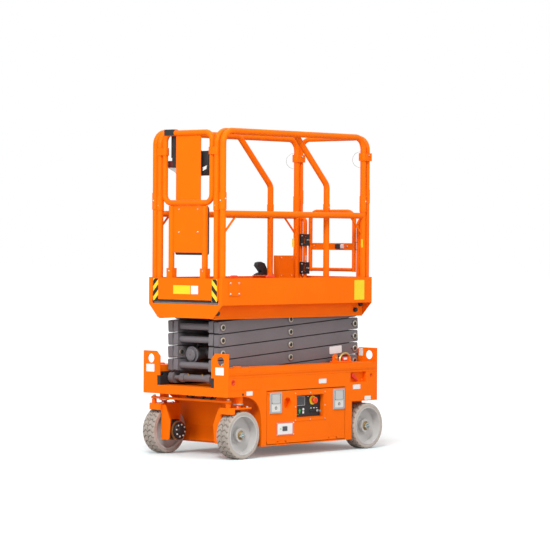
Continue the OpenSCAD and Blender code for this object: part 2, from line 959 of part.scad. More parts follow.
module side_rail() {
  top = rail_top - bend_r;
  foot = deck_top + seam;
  bar_z(rail_front, rail_y, foot, top - seam, tube_r);
  bar_z(-rail_rear, rail_y, foot, top - seam, tube_r);
  bend_xz(rail_front - bend_r, rail_y, top, bend_r, tube_r, 0, 90);
  bend_xz(bend_r - rail_rear, rail_y, top, bend_r, tube_r, 90, 90);
  bar_x(bend_r - rail_rear + seam, rail_front - bend_r - seam, rail_y, rail_top, tube_r);
  difference() {
    bar_x(-rail_rear, rail_front, rail_y, rail_mid, tube_r);
    bar_z(rail_front, rail_y, rail_mid - 40, rail_mid + 40, tube_r + seam);
    bar_z(-rail_rear, rail_y, rail_mid - 40, rail_mid + 40, tube_r + seam);
  }
  leg_sleeve(rail_front);
  leg_sleeve(-rail_rear);
  gusset(rail_front, -1);
  gusset(-rail_rear, 1);
}

// slim brace between a leg and the mid rail
module gusset(x, dir) {
  difference() {
    translate([x, rail_y, rail_mid - gusset_h]) rotate([0, dir * 45, 0])
      cylinder(r = 7, h = gusset_h * sqrt(2));
    bar_z(x, rail_y, rail_mid - 200, rail_mid + 60, tube_r + seam);
    bar_x(-rail_rear, rail_front, rail_y, rail_mid, tube_r + seam);
  }
}

module leg_sleeve(x) {
  difference() {
    bar_z(x, rail_y, rail_mid + tube_r + 6, rail_mid + 134, leg_sleeve_r);
    bar_z(x, rail_y, rail_mid, rail_mid + 200, tube_r + seam);
  }
}

module rail_left() {
  color(orange) side_rail();
}

module rail_right() {
  color(orange) mirror([0, 1, 0]) side_rail();
}

module rail_rear() {
  top = rail_top - bend_r;
  color(orange) {
    both() bar_z(-back_x, rail_y, deck_top + seam, top - seam, tube_r - 4);
    both() bend_yz(-back_x, rail_y - bend_r, top, bend_r, tube_r - 4, 0, 90);
    bar_y(-back_x, bend_r - rail_y + seam, rail_y - bend_r - seam, rail_top, tube_r - 4);
    both() rear_sleeve();
    latch_post();
    hinge_post();
  }
}

// collar on each rear leg
module rear_sleeve() {
  difference() {
    bar_z(-back_x, rail_y, rail_mid + 84, rail_mid + 176, tube_r - 1.5);
    bar_z(-back_x, rail_y, rail_mid, rail_mid + 300, tube_r - 4 + seam);
  }
}

// post that the gate closes against, bent over to the left leg
module latch_post() {
  y = gate_free + 25;
  top = rail_mid - 66;
  bar_z(-back_x, y, deck_top + seam, top - seam, post_r);
  bend_yz(-back_x, y + 50, top, 50, post_r, 90, 90);
  difference() {
    bar_y(-back_x, y + 50 + seam, rail_y, top + 50, post_r);
    bar_z(-back_x, rail_y, top - 20, top + 120, tube_r - 4 + seam);
  }
}

// post that carries the gate hinges, bent over to the right leg
module hinge_post() {
  rb = 26;
  y = -hinge_post_y;
  top = rail_mid - 42;
  bar_z(-back_x, y, deck_top + seam, top - seam, post_r);
  bend_yz(-back_x, y - rb, top, rb, post_r, 0, 90);
  for (z = gate_hinges) {
    gate_pin(z);
  }
}

// hinge pin for the gate, held by two ears on the hinge post
module gate_pin(z) {
  bar_z(pin_x, -gate_hinge, z - 38, z + 38, 5);
  for (e = [-1, 1]) {
    translate([pin_x - 12, -hinge_post_y, z + e * 31 - 6]) cube([19, hinge_post_y - gate_hinge + 7, 12]);
  }
}

module gate() {
  r = gate_r;
  rb = 60;
  y0 = -gate_hinge + 24;
  y1 = gate_free - r;
  color(orange) {
    bar_z(-back_x, y0, gate_foot, gate_top - r - rb - seam, r);
    bar_z(-back_x, y1, gate_foot, gate_top - r - rb - seam, r);
    bend_yz(-back_x, y1 - rb, gate_top - r - rb, rb, r, 0, 90);
    bend_yz(-back_x, y0 + rb, gate_top - r - rb, rb, r, 90, 90);
    bar_y(-back_x, y0 + rb + seam, y1 - rb - seam, gate_top - r, r);
    span([-back_x - 5, y0 + r + seam, 1325], [5 - back_x, y1 - r - seam, 1372]);
    bar_y(-back_x, y0 + r + seam, y1 - r - seam, gate_foot + r, r - 2);
    for (z = gate_hinges) {
      difference() {
        union() {
          span([pin_x - 5, -gate_hinge, z - 22], [pin_x + 6, y0 + 10, z + 22]);
          bar_z(pin_x, -gate_hinge, z - 22, z + 22, 9);
        }
        bar_z(pin_x, -gate_hinge, z - 40, z + 40, 5 + run_gap);
        bar_z(-back_x, y0, z - 60, z + 60, r + seam);
      }
    }
  }
}

// wire loop of a lock pin, standing out from a rear leg
module wire_loop(c) {
  n = 18;
  m = 8;
  d = [0.674, -0.739, 0];
  w = [0.739, 0.674, 0];
  pts = [for (i = [0:n]) let (t = 90 - 180 * i / n, out = d * cos(t) + [0, 0, sin(t)])
    for (k = [0:m - 1]) c + (wire_bow + wire_r * cos(360 * k / m)) * out + wire_r * sin(360 * k / m) * w];
  sides = [for (i = [0:n - 1]) for (k = [0:m - 1])
    [i * m + k, (i + 1) * m + k, (i + 1) * m + (k + 1) % m, i * m + (k + 1) % m]];
  first = [for (k = [0:m - 1]) k];
  last = [for (k = [0:m - 1]) n * m + m - 1 - k];
  polyhedron(points = pts, faces = concat(sides, [first, last]));
}

module lanyard_left() {
  off = tube_r + seam;
  color(steel) wire_loop([0.674 * off - rail_rear, rail_y - 0.739 * off, loop_top - 140]);
}

module lanyard_right() {
  off = tube_r + seam;
  color(steel) wire_loop([0.674 * off - rail_rear, -rail_y - 0.739 * off, loop_top - 140]);
}

module outlet_box() {
  high = deck_top + outlet_share * (rail_mid - deck_top);
  color(orange) span([125 - plat_rear, -plat_half + 4 + seam, deck_top + 40],
    [270 - plat_rear, -268, high]);
}

// Deck extension

module ext_deck() {
  color(orange) {
    span([-ext_back, -ext_y - tube_r, deck_top + 5], [plat_front - 4, ext_y + tube_r, deck_top + 11]);
    span([plat_front - 4, -panel_half, deck_top + 5], [plat_front, panel_half, toe_top - 2]);
    both() span([20 - ext_back, 185, deck_top + 0.3], [plat_front - 60, 205, deck_top + 5]);
    both() span([100, ext_y - tube_r - 8, deck_top + 11],
      [plat_front - 4, ext_y - tube_r - 4, toe_top - 10]);
  }
}

module ext_rail() {
  top = rail_top - bend_r;
  foot = deck_top + 11 + seam;
  slope = 46;
  rb = 60;
  x1 = 20;
  x2 = x1 - rb * sin(slope);
  z2 = rail_top - rb + rb * cos(slope);
  run = 400;
  x3 = x2 - run * cos(slope);
  z3 = z2 - run * sin(slope);
  xc = x3 + rb * sin(slope);
  zc = z3 - rb * cos(slope);
  bar_z(ext_front, ext_y, foot, top - seam, tube_r);
  bend_xz(ext_front - bend_r, ext_y, top, bend_r, tube_r, 0, 90);
  bar_x(x1 + seam, ext_front - bend_r - seam, ext_y, rail_top, tube_r);
  bend_xz(x1, ext_y, rail_top - rb, rb, tube_r, 90, slope);
  translate([x2, ext_y, z2]) rotate([0, -90 - slope, 0]) translate([0, 0, seam])
    cylinder(r = tube_r, h = run - 2 * seam);
  bend_xz(xc, ext_y, zc, rb, tube_r, 90 + slope, 90 - slope);
  bar_z(xc - rb, ext_y, foot, zc - seam, tube_r);
  difference() {
    bar_x(xc - rb, ext_front, ext_y, rail_mid, tube_r - 3);
    bar_z(ext_front, ext_y, rail_mid - 40, rail_mid + 40, tube_r + seam);
    bar_z(xc - rb, ext_y, rail_mid - 40, rail_mid + 40, tube_r + seam);
  }
}

module ext_rail_left() {
  color(orange) ext_rail();
}

module ext_rail_right() {
  color(orange) mirror([0, 1, 0]) ext_rail();
}

module front_loop() {
  rb = 56;
  r = loop_r;
  color(orange) {
    both() bar_z(ext_front, loop_y, loop_low + rb + seam, loop_top - rb - seam, r);
    both() bend_yz(ext_front, loop_y - rb, loop_top - rb, rb, r, 0, 90);
    both() bend_yz(ext_front, loop_y - rb, loop_low + rb, rb, r, 270, 90);
    bar_y(ext_front, rb - loop_y + seam, loop_y - rb - seam, loop_top, r);
    bar_y(ext_front, rb - loop_y + seam, loop_y - rb - seam, loop_low, r);
    span([ext_front - 3, -109, loop_low + r + seam], [ext_front + 3, 109, loop_top - r - seam]);
    both() span([ext_front - 14, loop_y + r + seam, loop_top - 142],
      [ext_front + 14, ext_y - tube_r - seam, loop_top - 94]);
  }
}

module front_posts() {
  top = loop_low - loop_r - seam;
  color(orange) {
    both() bar_z(ext_front, post_y, deck_top + 11 + seam, top, 19);
    both() difference() {
      span([ext_front - 24, post_y - 24, deck_top + 11 + seam], [ext_front + 21, post_y + 24, 1207]);
      bar_z(ext_front, post_y, deck_top, 1300, 19 + seam);
    }
    span([ext_front - 3, 19.5 - post_y, 1307], [ext_front + 3, post_y - 19.5, top]);
  }
}

module control_box() {
  color(dark) {
    low = loop_low + 175;
    left = control_w / 2 - 12;
    right = -control_w / 2 - 12;
    translate([ext_front - 22 - control_d, 0, 0]) rotate([90, 0, 90]) linear_extrude(control_d)
      polygon([[right, low + 50], [right + 50, low], [left - 36, low], [left, low + 34],
        [left, low + control_h], [right, low + control_h]]);
    span([ext_front - 60, -174, low + control_h - 40], [ext_front - loop_r - seam, -114, loop_top + 20]);
  }
}

module document_box() {
  back = ext_front - 3 - seam;
  color(dark) span([back - document_d, -document_w / 2, loop_low - 332],
    [back, document_w / 2, loop_low - 332 + document_h]);
}

base_tub();
base_trough();
base_side_left();
base_side_right();
front_plate();
rear_plate();
kingpin_beam();
rear_axle();
slide_tracks();
power_pack();
entry_ladder();
door_left();
door_right();
ground_controls();
latches_left();
latches_right();
knuckle_left();
knuckle_right();
drive_motor_left();
drive_motor_right();
tie_rod();
rim_front_left();
rim_front_right();
rim_rear_left();
rim_rear_right();
tyre_front_left();
tyre_front_right();
tyre_rear_left();
tyre_rear_right();
inner_arms_1();
inner_arms_2();
inner_arms_3();
inner_arms_4();
inner_arms_5();
outer_arms_1();
outer_arms_2();
outer_arms_3();
outer_arms_4();
outer_arms_5();
slide_blocks_low();
slide_blocks_top();
lift_barrel();
lift_rod();
platform_frame();
platform_deck();
toe_boards();
rail_left();
rail_right();
rail_rear();
gate();
lanyard_left();
lanyard_right();
outlet_box();
ext_deck();
ext_rail_left();
ext_rail_right();
front_loop();
front_posts();
control_box();
document_box();
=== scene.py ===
import math
import bmesh
import bpy
from mathutils import Matrix, Vector


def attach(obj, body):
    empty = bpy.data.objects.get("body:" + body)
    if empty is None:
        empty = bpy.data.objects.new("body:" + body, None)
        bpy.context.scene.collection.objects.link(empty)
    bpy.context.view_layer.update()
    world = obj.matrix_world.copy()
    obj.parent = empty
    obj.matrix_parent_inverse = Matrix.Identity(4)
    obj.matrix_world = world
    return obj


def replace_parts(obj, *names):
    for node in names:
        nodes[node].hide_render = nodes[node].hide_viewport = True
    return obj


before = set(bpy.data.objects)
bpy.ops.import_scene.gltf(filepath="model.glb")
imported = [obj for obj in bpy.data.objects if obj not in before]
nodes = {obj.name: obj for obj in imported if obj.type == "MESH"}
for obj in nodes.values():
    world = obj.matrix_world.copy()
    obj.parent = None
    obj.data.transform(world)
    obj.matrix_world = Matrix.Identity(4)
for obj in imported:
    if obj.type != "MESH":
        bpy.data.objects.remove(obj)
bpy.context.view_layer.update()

scene = bpy.context.scene
MM = 0.001

# Directions, and the two sides of the machine
UP, LEFT, FORE, AFT = (0, 0, 1), (0, 1, 0), (1, 0, 0), (-1, 0, 0)
SIDES = (1, -1)
HANDS = ((1, "left"), (-1, "right"))

# Places on the part, in millimetres
AXLE_X = 610.0  # front axle, and the rear one at minus this
HALF_TRACK = 330.0  # middle of a tyre
WHEEL_R = 152.5  # radius of a tyre, and height of the axles
HUB_FACE = 356.2  # just off a rim's hub
BASE_TOP = 579.0  # top of the base
FLANGE_FACE = 379.5  # widest part of the base's sides
SIDE_FACE = 376.1  # just off the flat of the base's sides
STACK_FACE = 230.0  # sides of the scissor stack at its pins
RAIL_Y = 299.0  # main guard rails
EXT_Y = 252.0  # guard rails of the deck extension
EXT_FACE = 760.1  # just off the front of the deck extension

WHEELS = {"front_left": (AXLE_X, 1), "front_right": (AXLE_X, -1),
          "rear_left": (-AXLE_X, 1), "rear_right": (-AXLE_X, -1)}


# Camera at the photograph's angle

def make_camera():
    place = Vector((12.2604, 11.2570, 1.4021))
    yaw, pitch, roll = 3.880652, -0.014574, 0.006149
    level = math.cos(pitch)
    ahead = Vector((level * math.cos(yaw), level * math.sin(yaw), math.sin(pitch)))
    right = ahead.cross(Vector(UP)).normalized()
    up = right.cross(ahead)
    c, s = math.cos(roll), math.sin(roll)
    right, up = right * c + up * s, up * c - right * s
    turn = Matrix((right, up, -ahead)).transposed().to_4x4()
    data = bpy.data.cameras.new("photo_camera")
    data.sensor_width = 36.0
    data.lens = 165.0
    data.clip_end = 200.0
    cam = bpy.data.objects.new("photo_camera", data)
    cam.matrix_world = Matrix.Translation(place) @ turn
    scene.collection.objects.link(cam)
    scene.camera = cam


make_camera()


# Materials

STRIPE_W = 0.034


def feed(tree, socket, value):
    """links an output to the input, or sets the input to a plain value"""
    if isinstance(value, bpy.types.NodeSocket):
        tree.links.new(value, socket)
    else:
        socket.default_value = value


def node_of(tree, kind, **sockets):
    n = tree.nodes.new(kind)
    for key, value in sockets.items():
        feed(tree, n.inputs[key.replace("_", " ")], value)
    return n


def math_of(tree, operation, *values, kind="ShaderNodeMath"):
    n = tree.nodes.new(kind)
    n.operation = operation
    for socket, value in zip(n.inputs, values):
        feed(tree, socket, value)
    return n.outputs["Value"]


def blend(tree, factor, first, second):
    """a colour between two colours"""
    n = tree.nodes.new("ShaderNodeMix")
    n.data_type = "RGBA"
    for key, value in (("Factor", factor), (6, first), (7, second)):
        feed(tree, n.inputs[key], value)
    return n.outputs[2]


def mix_shaders(tree, factor, first, second):
    n = tree.nodes.new("ShaderNodeMixShader")
    for socket, value in zip(n.inputs, (factor, first, second)):
        feed(tree, socket, value)
    return n.outputs[0]


def shade(color, factor):
    return tuple(min(1.0, c * factor) for c in color) + (1.0,)


def surface(name, color, rough=0.4, metal=0.0, vary=0.06, patch=3.0, grain=60.0, spread=0.08,
            bump=0.12, bump_size=500.0, edge=0.002, edge_highlight_and_wear=None, edge_highlight_and_wear_amount=0.35, spec=0.5,
            stripes=None, chequer=False, tread_and_groove_shade_colour=None):
    mat = bpy.data.materials.new(name)
    mat.use_nodes = True
    tree = mat.node_tree
    bsdf = tree.nodes["Principled BSDF"]
    bsdf.inputs["Metallic"].default_value = metal
    bsdf.inputs["Specular IOR Level"].default_value = spec
    where = node_of(tree, "ShaderNodeTexCoord").outputs["Object"]
    # slow drift of the colour
    drift = node_of(tree, "ShaderNodeTexNoise", Vector=where, Scale=patch, Detail=5.0, Roughness=0.6)
    tone = node_of(tree, "ShaderNodeValToRGB", Fac=drift.outputs["Fac"])
    low, high = tone.color_ramp.elements
    low.position, high.position = 0.3, 0.7
    low.color, high.color = shade(color, 1.0 - vary), shade(color, 1.0 + vary)
    shown = tone.outputs["Color"]
    if stripes:
        split = node_of(tree, "ShaderNodeSeparateXYZ", Vector=where)
        side = math_of(tree, "ABSOLUTE", split.outputs["Y"])
        both = math_of(tree, "ADD", side, split.outputs["Z"])
        wrap = math_of(tree, "PINGPONG", both, STRIPE_W)
        shown = blend(tree, math_of(tree, "GREATER_THAN", wrap, STRIPE_W / 2), shown, stripes)
    # darker by the tyre's groove value: a darker tread, and painted shade down in the grooves
    if tread_and_groove_shade_colour:
        deep = tree.nodes.new("ShaderNodeAttribute")
        deep.attribute_name = "groove"
        shown = blend(tree, deep.outputs["Fac"], shown, tread_and_groove_shade_colour)
    # rounded look at the edges, and a little lighter at the edges: a painted edge highlight, broken up by
    # noise as a little rubbed paint
    soft = node_of(tree, "ShaderNodeBevel", Radius=edge)
    soft.samples = 4
    if edge_highlight_and_wear:
        geo = tree.nodes.new("ShaderNodeNewGeometry")
        dot = math_of(tree, "DOT_PRODUCT", soft.outputs["Normal"], geo.outputs["Normal"],
                      kind="ShaderNodeVectorMath")
        edge_highlight_mask = node_of(tree, "ShaderNodeMapRange", Value=dot, From_Min=0.985, From_Max=0.80,
                      To_Max=edge_highlight_and_wear_amount)
        edge_breakup = node_of(tree, "ShaderNodeTexNoise", Vector=where, Scale=45.0, Detail=6.0, Roughness=0.7)
        some = math_of(tree, "MULTIPLY", edge_highlight_mask.outputs["Result"], edge_breakup.outputs["Fac"])
        shown = blend(tree, some, shown, edge_highlight_and_wear)
    feed(tree, bsdf.inputs["Base Color"], shown)
    # gloss that changes a little over the surface
    haze = node_of(tree, "ShaderNodeTexNoise", Vector=where, Scale=grain, Detail=3.0)
    gloss = node_of(tree, "ShaderNodeMapRange", Value=haze.outputs["Fac"],
                    To_Min=max(0.03, rough - spread), To_Max=min(1.0, rough + spread))
    feed(tree, bsdf.inputs["Roughness"], gloss.outputs["Result"])
    # fine texture
    fine = node_of(tree, "ShaderNodeTexNoise", Vector=where, Scale=bump_size, Detail=2.0)
    height, depth = fine.outputs["Fac"], 0.0006
    if chequer:
        spin = node_of(tree, "ShaderNodeMapping", Vector=where, Rotation=(0.0, 0.0, math.radians(45)))
        brick = node_of(tree, "ShaderNodeTexBrick", Vector=spin.outputs["Vector"], Scale=1.0,
                        Mortar_Size=0.006, Brick_Width=0.034, Row_Height=0.017)
        height, depth = math_of(tree, "SUBTRACT", height, brick.outputs["Fac"]), 0.0015
    relief = node_of(tree, "ShaderNodeBump", Strength=bump, Distance=depth, Height=height,
                     Normal=soft.outputs["Normal"])
    feed(tree, bsdf.inputs["Normal"], relief.outputs["Normal"])
    return mat


# the lighter edge colours given below are painted edge highlights, with a little rubbed paint
orange = surface("orange_powder_coat", (0.95, 0.158, 0.001), rough=0.42, vary=0.04,
                 bump=0.08, bump_size=420.0, edge_highlight_and_wear=(1.0, 0.25, 0.02, 1), spec=0.08)
grey = surface("grey_enamel", (0.160, 0.146, 0.156), rough=0.46, vary=0.08, bump=0.12,
               bump_size=300.0, edge_highlight_and_wear=(0.26, 0.25, 0.26, 1), edge_highlight_and_wear_amount=0.45, spec=0.3)
rim_paint = surface("pale_grey_rim", (0.545, 0.53, 0.515), rough=0.40, vary=0.05,
                    edge_highlight_and_wear=(0.62, 0.62, 0.61, 1), spec=0.3)
rubber = surface("non_marking_rubber", (0.50, 0.445, 0.395), rough=0.82, vary=0.12, patch=14.0,
                 bump=0.35, bump_size=260.0, edge=0.001, spec=0.2, tread_and_groove_shade_colour=(0.22, 0.185, 0.155, 1))
black = surface("black_plastic", (0.020, 0.020, 0.022), rough=0.48, vary=0.15, bump=0.25,
                bump_size=700.0, edge_highlight_and_wear=(0.08, 0.08, 0.085, 1), spec=0.35)
dark_iron = surface("dark_iron", (0.030, 0.028, 0.030), rough=0.45, metal=0.3, vary=0.15,
                    bump=0.2)
nylon = surface("grey_nylon", (0.40, 0.41, 0.41), rough=0.45, vary=0.05, bump=0.15,
                edge_highlight_and_wear=(0.5, 0.5, 0.5, 1))
pale_nylon = surface("pale_nylon", (0.52, 0.53, 0.52), rough=0.40, vary=0.05, bump=0.12)
bright_nylon = surface("bright_nylon", (0.70, 0.70, 0.66), rough=0.30, vary=0.05, bump=0.08)
bright_zinc = surface("bright_zinc", (0.74, 0.74, 0.72), rough=0.34, metal=0.25, vary=0.08,
                      bump=0.08)
zinc = surface("zinc_plate", (0.62, 0.62, 0.60), rough=0.30, metal=1.0, vary=0.10, grain=150.0,
               bump=0.08)
brass = surface("yellow_zinc", (0.62, 0.43, 0.17), rough=0.34, metal=1.0, vary=0.18,
                grain=120.0, bump=0.08)
aged_brass = surface("aged_yellow_zinc", (0.33, 0.235, 0.105), rough=0.46, metal=0.6,
                     vary=0.40, patch=60.0, bump=0.15)
blue_zinc = surface("blue_zinc", (0.085, 0.25, 0.25), rough=0.36, metal=0.5, vary=0.20,
                    bump=0.10)
ring_zinc = surface("warm_zinc", (0.60, 0.54, 0.42), rough=0.34, metal=0.9, vary=0.15,
                    grain=120.0, bump=0.08)
bronze = surface("dull_bronze", (0.36, 0.19, 0.07), rough=0.45, metal=0.7, vary=0.2,
                 bump=0.15)
chrome = surface("hard_chrome", (0.72, 0.72, 0.73), rough=0.12, metal=1.0, vary=0.03, grain=200.0,
                 spread=0.04, bump=0.03)
plate_deck = surface("chequer_plate", (0.30, 0.30, 0.31), rough=0.38, metal=0.7, vary=0.12,
                     chequer=True, bump=0.8)
white = surface("white_vinyl", (0.80, 0.80, 0.79), rough=0.35, vary=0.03, patch=20.0, bump=0.05)
yellow = surface("yellow_vinyl", (0.90, 0.66, 0.02), rough=0.35, vary=0.03, patch=20.0, bump=0.05,
                 spec=0.3)
hazard = surface("hazard_stripes", (0.90, 0.64, 0.03), rough=0.35, vary=0.03, patch=20.0, bump=0.05,
                 spec=0.3, stripes=(0.018, 0.017, 0.016, 1))
red = surface("red_plastic", (0.80, 0.040, 0.018), rough=0.34, vary=0.06, bump=0.08,
              spec=0.3)
red_paint = surface("red_enamel", (0.78, 0.060, 0.020), rough=0.40, vary=0.08, bump=0.10,
                    spec=0.25, edge_highlight_and_wear=(0.8, 0.2, 0.1, 1))
maroon = surface("maroon_plastic", (0.10, 0.014, 0.014), rough=0.42, vary=0.10, bump=0.10)
rose = surface("rose_plastic", (0.74, 0.20, 0.13), rough=0.40, vary=0.05, bump=0.08,
               spec=0.3)
green = surface("green_plastic", (0.05, 0.45, 0.08), rough=0.35, vary=0.05, bump=0.06)
glass = surface("display_glass", (0.075, 0.080, 0.088), rough=0.16, vary=0.10, spread=0.03,
                bump=0.02)
hose = surface("black_hose", (0.018, 0.018, 0.018), rough=0.6, vary=0.15, bump=0.3,
               bump_size=900.0, spec=0.3)
wire = surface("coated_wire", (0.30, 0.29, 0.27), rough=0.40, metal=0.5, vary=0.06, bump=0.2,
               bump_size=1500.0)


def dress(names, mat):
    for name in names:
        obj = nodes[name]
        obj.data.materials.clear()
        obj.data.materials.append(mat)


dress(["base_tub", "base_trough", "base_side_left", "base_side_right", "front_plate", "rear_plate",
       "kingpin_beam", "rear_axle", "entry_ladder", "door_left", "door_right", "ground_controls",
       "knuckle_left", "knuckle_right", "tie_rod", "platform_frame", "toe_boards", "rail_left",
       "rail_right", "rail_rear", "gate", "outlet_box", "ext_deck", "ext_rail_left", "ext_rail_right",
       "front_loop", "front_posts"], orange)
dress(["inner_arms_%d" % k for k in range(1, 6)] + ["outer_arms_%d" % k for k in range(1, 6)]
      + ["lift_barrel"], grey)
dress(["rim_" + end for end in WHEELS], rim_paint)
dress(["tyre_" + end for end in WHEELS], rubber)
dress(["slide_tracks", "power_pack", "slide_blocks_low", "slide_blocks_top", "control_box",
       "document_box"], black)
dress(["drive_motor_left", "drive_motor_right"], dark_iron)
dress(["latches_left", "latches_right"], nylon)
dress(["lift_rod"], chrome)
dress(["platform_deck"], plate_deck)
dress(["lanyard_left", "lanyard_right"], wire)


# Mesh forms, drawn in millimetres in the shared frame

def facing(axis):
    return Vector(axis).normalized().to_track_quat("Z", "Y").to_matrix().to_4x4()


class Form:
    def __init__(self):
        self.bm = bmesh.new()

    def box(self, a, b, edge=1.0):
        a, b = Vector(a), Vector(b)
        new = bmesh.ops.create_cube(self.bm, size=1.0)["verts"]
        size = b - a
        for v in new:
            v.co = Vector((v.co.x * size.x, v.co.y * size.y, v.co.z * size.z)) + (a + b) / 2
        self.round(new, edge)

    def round(self, new, edge, turn=None):
        """rounds the edges of what is new, then turns it"""
        if edge > 0:
            lines = set()
            for v in new:
                lines.update(v.link_edges)
            out = bmesh.ops.bevel(self.bm, geom=list(lines), offset=edge, segments=2, profile=0.5,
                                  affect="EDGES", clamp_overlap=True)
            new = set(out["verts"]) | {v for v in new if v.is_valid}
        if turn is not None:
            bmesh.ops.transform(self.bm, matrix=turn, verts=list(new))

    def lathe(self, foot, axis, profile, seg=32):
        """a (radius, height) profile turned about an axis from foot"""
        place = Matrix.Translation(Vector(foot)) @ facing(axis)
        turns = [2 * math.pi * i / seg for i in range(seg)]
        rows = []
        for r, h in profile:
            ring = [(0, 0, h)] if r < 1e-6 else [(r * math.cos(a), r * math.sin(a), h) for a in turns]
            rows.append([self.bm.verts.new(place @ Vector(p)) for p in ring])
        for p, q in zip(rows, rows[1:]):
            for i in range(seg):
                j = (i + 1) % seg
                if len(p) == 1 and len(q) > 1:
                    self.bm.faces.new((p[0], q[i], q[j]))
                elif len(q) == 1 and len(p) > 1:
                    self.bm.faces.new((p[i], q[0], p[j]))
                elif len(p) > 1:
                    self.bm.faces.new((p[i], q[i], q[j], p[j]))

    def knob(self, foot, axis, r, h, edge=1.0, seg=32):
        self.lathe(foot, axis, [(0, 0), (r, 0), (r, h - edge), (r - edge * 0.3, h - edge * 0.3),
                                (r - edge, h), (0, h)], seg)

    def washer(self, foot, axis, r0, r1, h, seg=32):
        e = min(0.6, h * 0.4)
        self.lathe(foot, axis, [(r0, 0), (r1, 0), (r1, h - e), (r1 - e, h), (r0 + e, h), (r0, h - e),
                                (r0, 0)], seg)

    def hexhead(self, foot, axis, flats, h):
        r = flats / math.sqrt(3)
        self.lathe(foot, axis, [(0, 0), (r, 0), (r, h - 1.0), (r * 0.90, h), (0, h)], 6)

    def bolt(self, foot, axis, flats=13.0):
        axis = Vector(axis).normalized()
        self.washer(foot, axis, flats * 0.3, flats * 0.85, 1.8, 24)
        self.hexhead(Vector(foot) + axis * 1.8, axis, flats, flats * 0.45)

    def screw(self, foot, axis, r=5.0):
        self.lathe(foot, axis, [(0, 0), (r, 0), (r, r * 0.2), (r * 0.86, r * 0.5), (r * 0.5, r * 0.66),
                                (r * 0.4, r * 0.35), (0, r * 0.35)], 18)

    def bands(self, to3, rings):
        """a skin over outlines of as many points, each at its own height"""
        rows = [[self.bm.verts.new(Vector(to3(u, v, w))) for u, v in ring] for w, ring in rings]
        for p, q in zip(rows, rows[1:]):
            for i in range(len(p)):
                j = (i + 1) % len(p)
                self.bm.faces.new((p[i], p[j], q[j], q[i]))

    def tube(self, points, r, seg=10, ring=False):
        pts = [Vector(p) for p in points]
        n = len(pts)
        side = None
        rows = []
        for i, p in enumerate(pts):
            if ring:
                along = (pts[(i + 1) % n] - pts[i - 1]).normalized()
            else:
                along = (pts[min(i + 1, n - 1)] - pts[max(i - 1, 0)]).normalized()
            if side is None:
                side = along.orthogonal().normalized()
            side = (side - along * side.dot(along)).normalized()
            up = along.cross(side)
            rows.append([self.bm.verts.new(p + r * (math.cos(2 * math.pi * k / seg) * side
                                                    + math.sin(2 * math.pi * k / seg) * up))
                         for k in range(seg)])
        pairs = list(zip(rows, rows[1:])) + ([(rows[-1], rows[0])] if ring else [])
        for p, q in pairs:
            for k in range(seg):
                m = (k + 1) % seg
                self.bm.faces.new((p[k], p[m], q[m], q[k]))
        if not ring:
            self.bm.faces.new(rows[0][::-1])
            self.bm.faces.new(rows[-1])

    def prism(self, outline, to3, depth, edge=0.8, turn=None):
        """outline in 2D, to3 maps (u, v, w) to the frame, depth along w"""
        low = [self.bm.verts.new(Vector(to3(u, v, 0.0))) for u, v in outline]
        high = [self.bm.verts.new(Vector(to3(u, v, depth))) for u, v in outline]
        n = len(outline)
        self.bm.faces.new(low[::-1])
        self.bm.faces.new(high)
        for i in range(n):
            j = (i + 1) % n
            self.bm.faces.new((low[i], low[j], high[j], high[i]))
        self.round(low + high, edge, turn)

    def done(self, name, body, mat, flat=20.0):
        bmesh.ops.recalc_face_normals(self.bm, faces=self.bm.faces[:])
        bmesh.ops.scale(self.bm, vec=(MM, MM, MM), verts=self.bm.verts[:])
        mesh = bpy.data.meshes.new(name)
        self.bm.to_mesh(mesh)
        self.bm.free()
        mesh.shade_smooth()
        mesh.set_sharp_from_angle(angle=math.radians(flat))
        mesh.materials.append(mat)
        obj = bpy.data.objects.new(name, mesh)
        scene.collection.objects.link(obj)
        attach(obj, body)
        return obj


def frame_of(cx, cz, w, h, r):
    """outline of a rectangle with round corners"""
    steps = 6
    out = []
    for ox, oz, a0 in ((w / 2 - r, h / 2 - r, 0), (r - w / 2, h / 2 - r, 90),
                       (r - w / 2, r - h / 2, 180), (w / 2 - r, r - h / 2, 270)):
        for i in range(steps + 1):
            a = math.radians(a0 + 90.0 * i / steps)
            out.append((cx + ox + r * math.cos(a), cz + oz + r * math.sin(a)))
    return out


def ring_point(center, r, angle):
    """a place on an upright circle that faces sideways"""
    x, y, z = center
    return x + r * math.cos(angle), y, z + r * math.sin(angle)


def coil(x, y, z, r, turn):
    """an upright coil spring that rises 1 mm a step"""
    return [(x + r * math.cos(t * turn), y + r * math.sin(t * turn), z + t) for t in range(46)]


# Where a flat outline lies: (u, v) on the face, w out of it

def on_side(s, y):
    return lambda u, v, w: (u, s * (y + w), v)


def on_left(y):
    return on_side(1, y)


def on_front(x):
    return lambda u, v, w: (x + w, u, v)


def on_top(z):
    return lambda u, v, w: (u, v, z + w)


# Wire loops of the lock pins at the rear corners

def make_lanyard(name, s):
    bow, reach = 52.0, 20.25
    way = Vector((0.674, -0.739, 0.0))
    foot = Vector((-635.0, s * RAIL_Y, 1932.0)) + way * reach
    turns = [math.radians(90.0 - 7.5 * i) for i in range(25)]
    path = [MM * (foot + bow * (way * math.cos(t) + Vector((0, 0, math.sin(t))))) for t in turns]
    curve = bpy.data.curves.new(name, "CURVE")
    curve.dimensions = "3D"
    curve.bevel_depth = 0.001
    curve.bevel_resolution = 2
    spline = curve.splines.new("POLY")
    spline.points.add(len(path) - 1)
    for point, place in zip(spline.points, path):
        point.co = (*place, 1.0)
    curve.materials.append(wire)
    obj = bpy.data.objects.new(name, curve)
    scene.collection.objects.link(obj)
    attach(obj, "platform")
    return obj


for s, name in HANDS:
    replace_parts(make_lanyard("wire_loop_" + name, s), "lanyard_" + name)


# Wheels

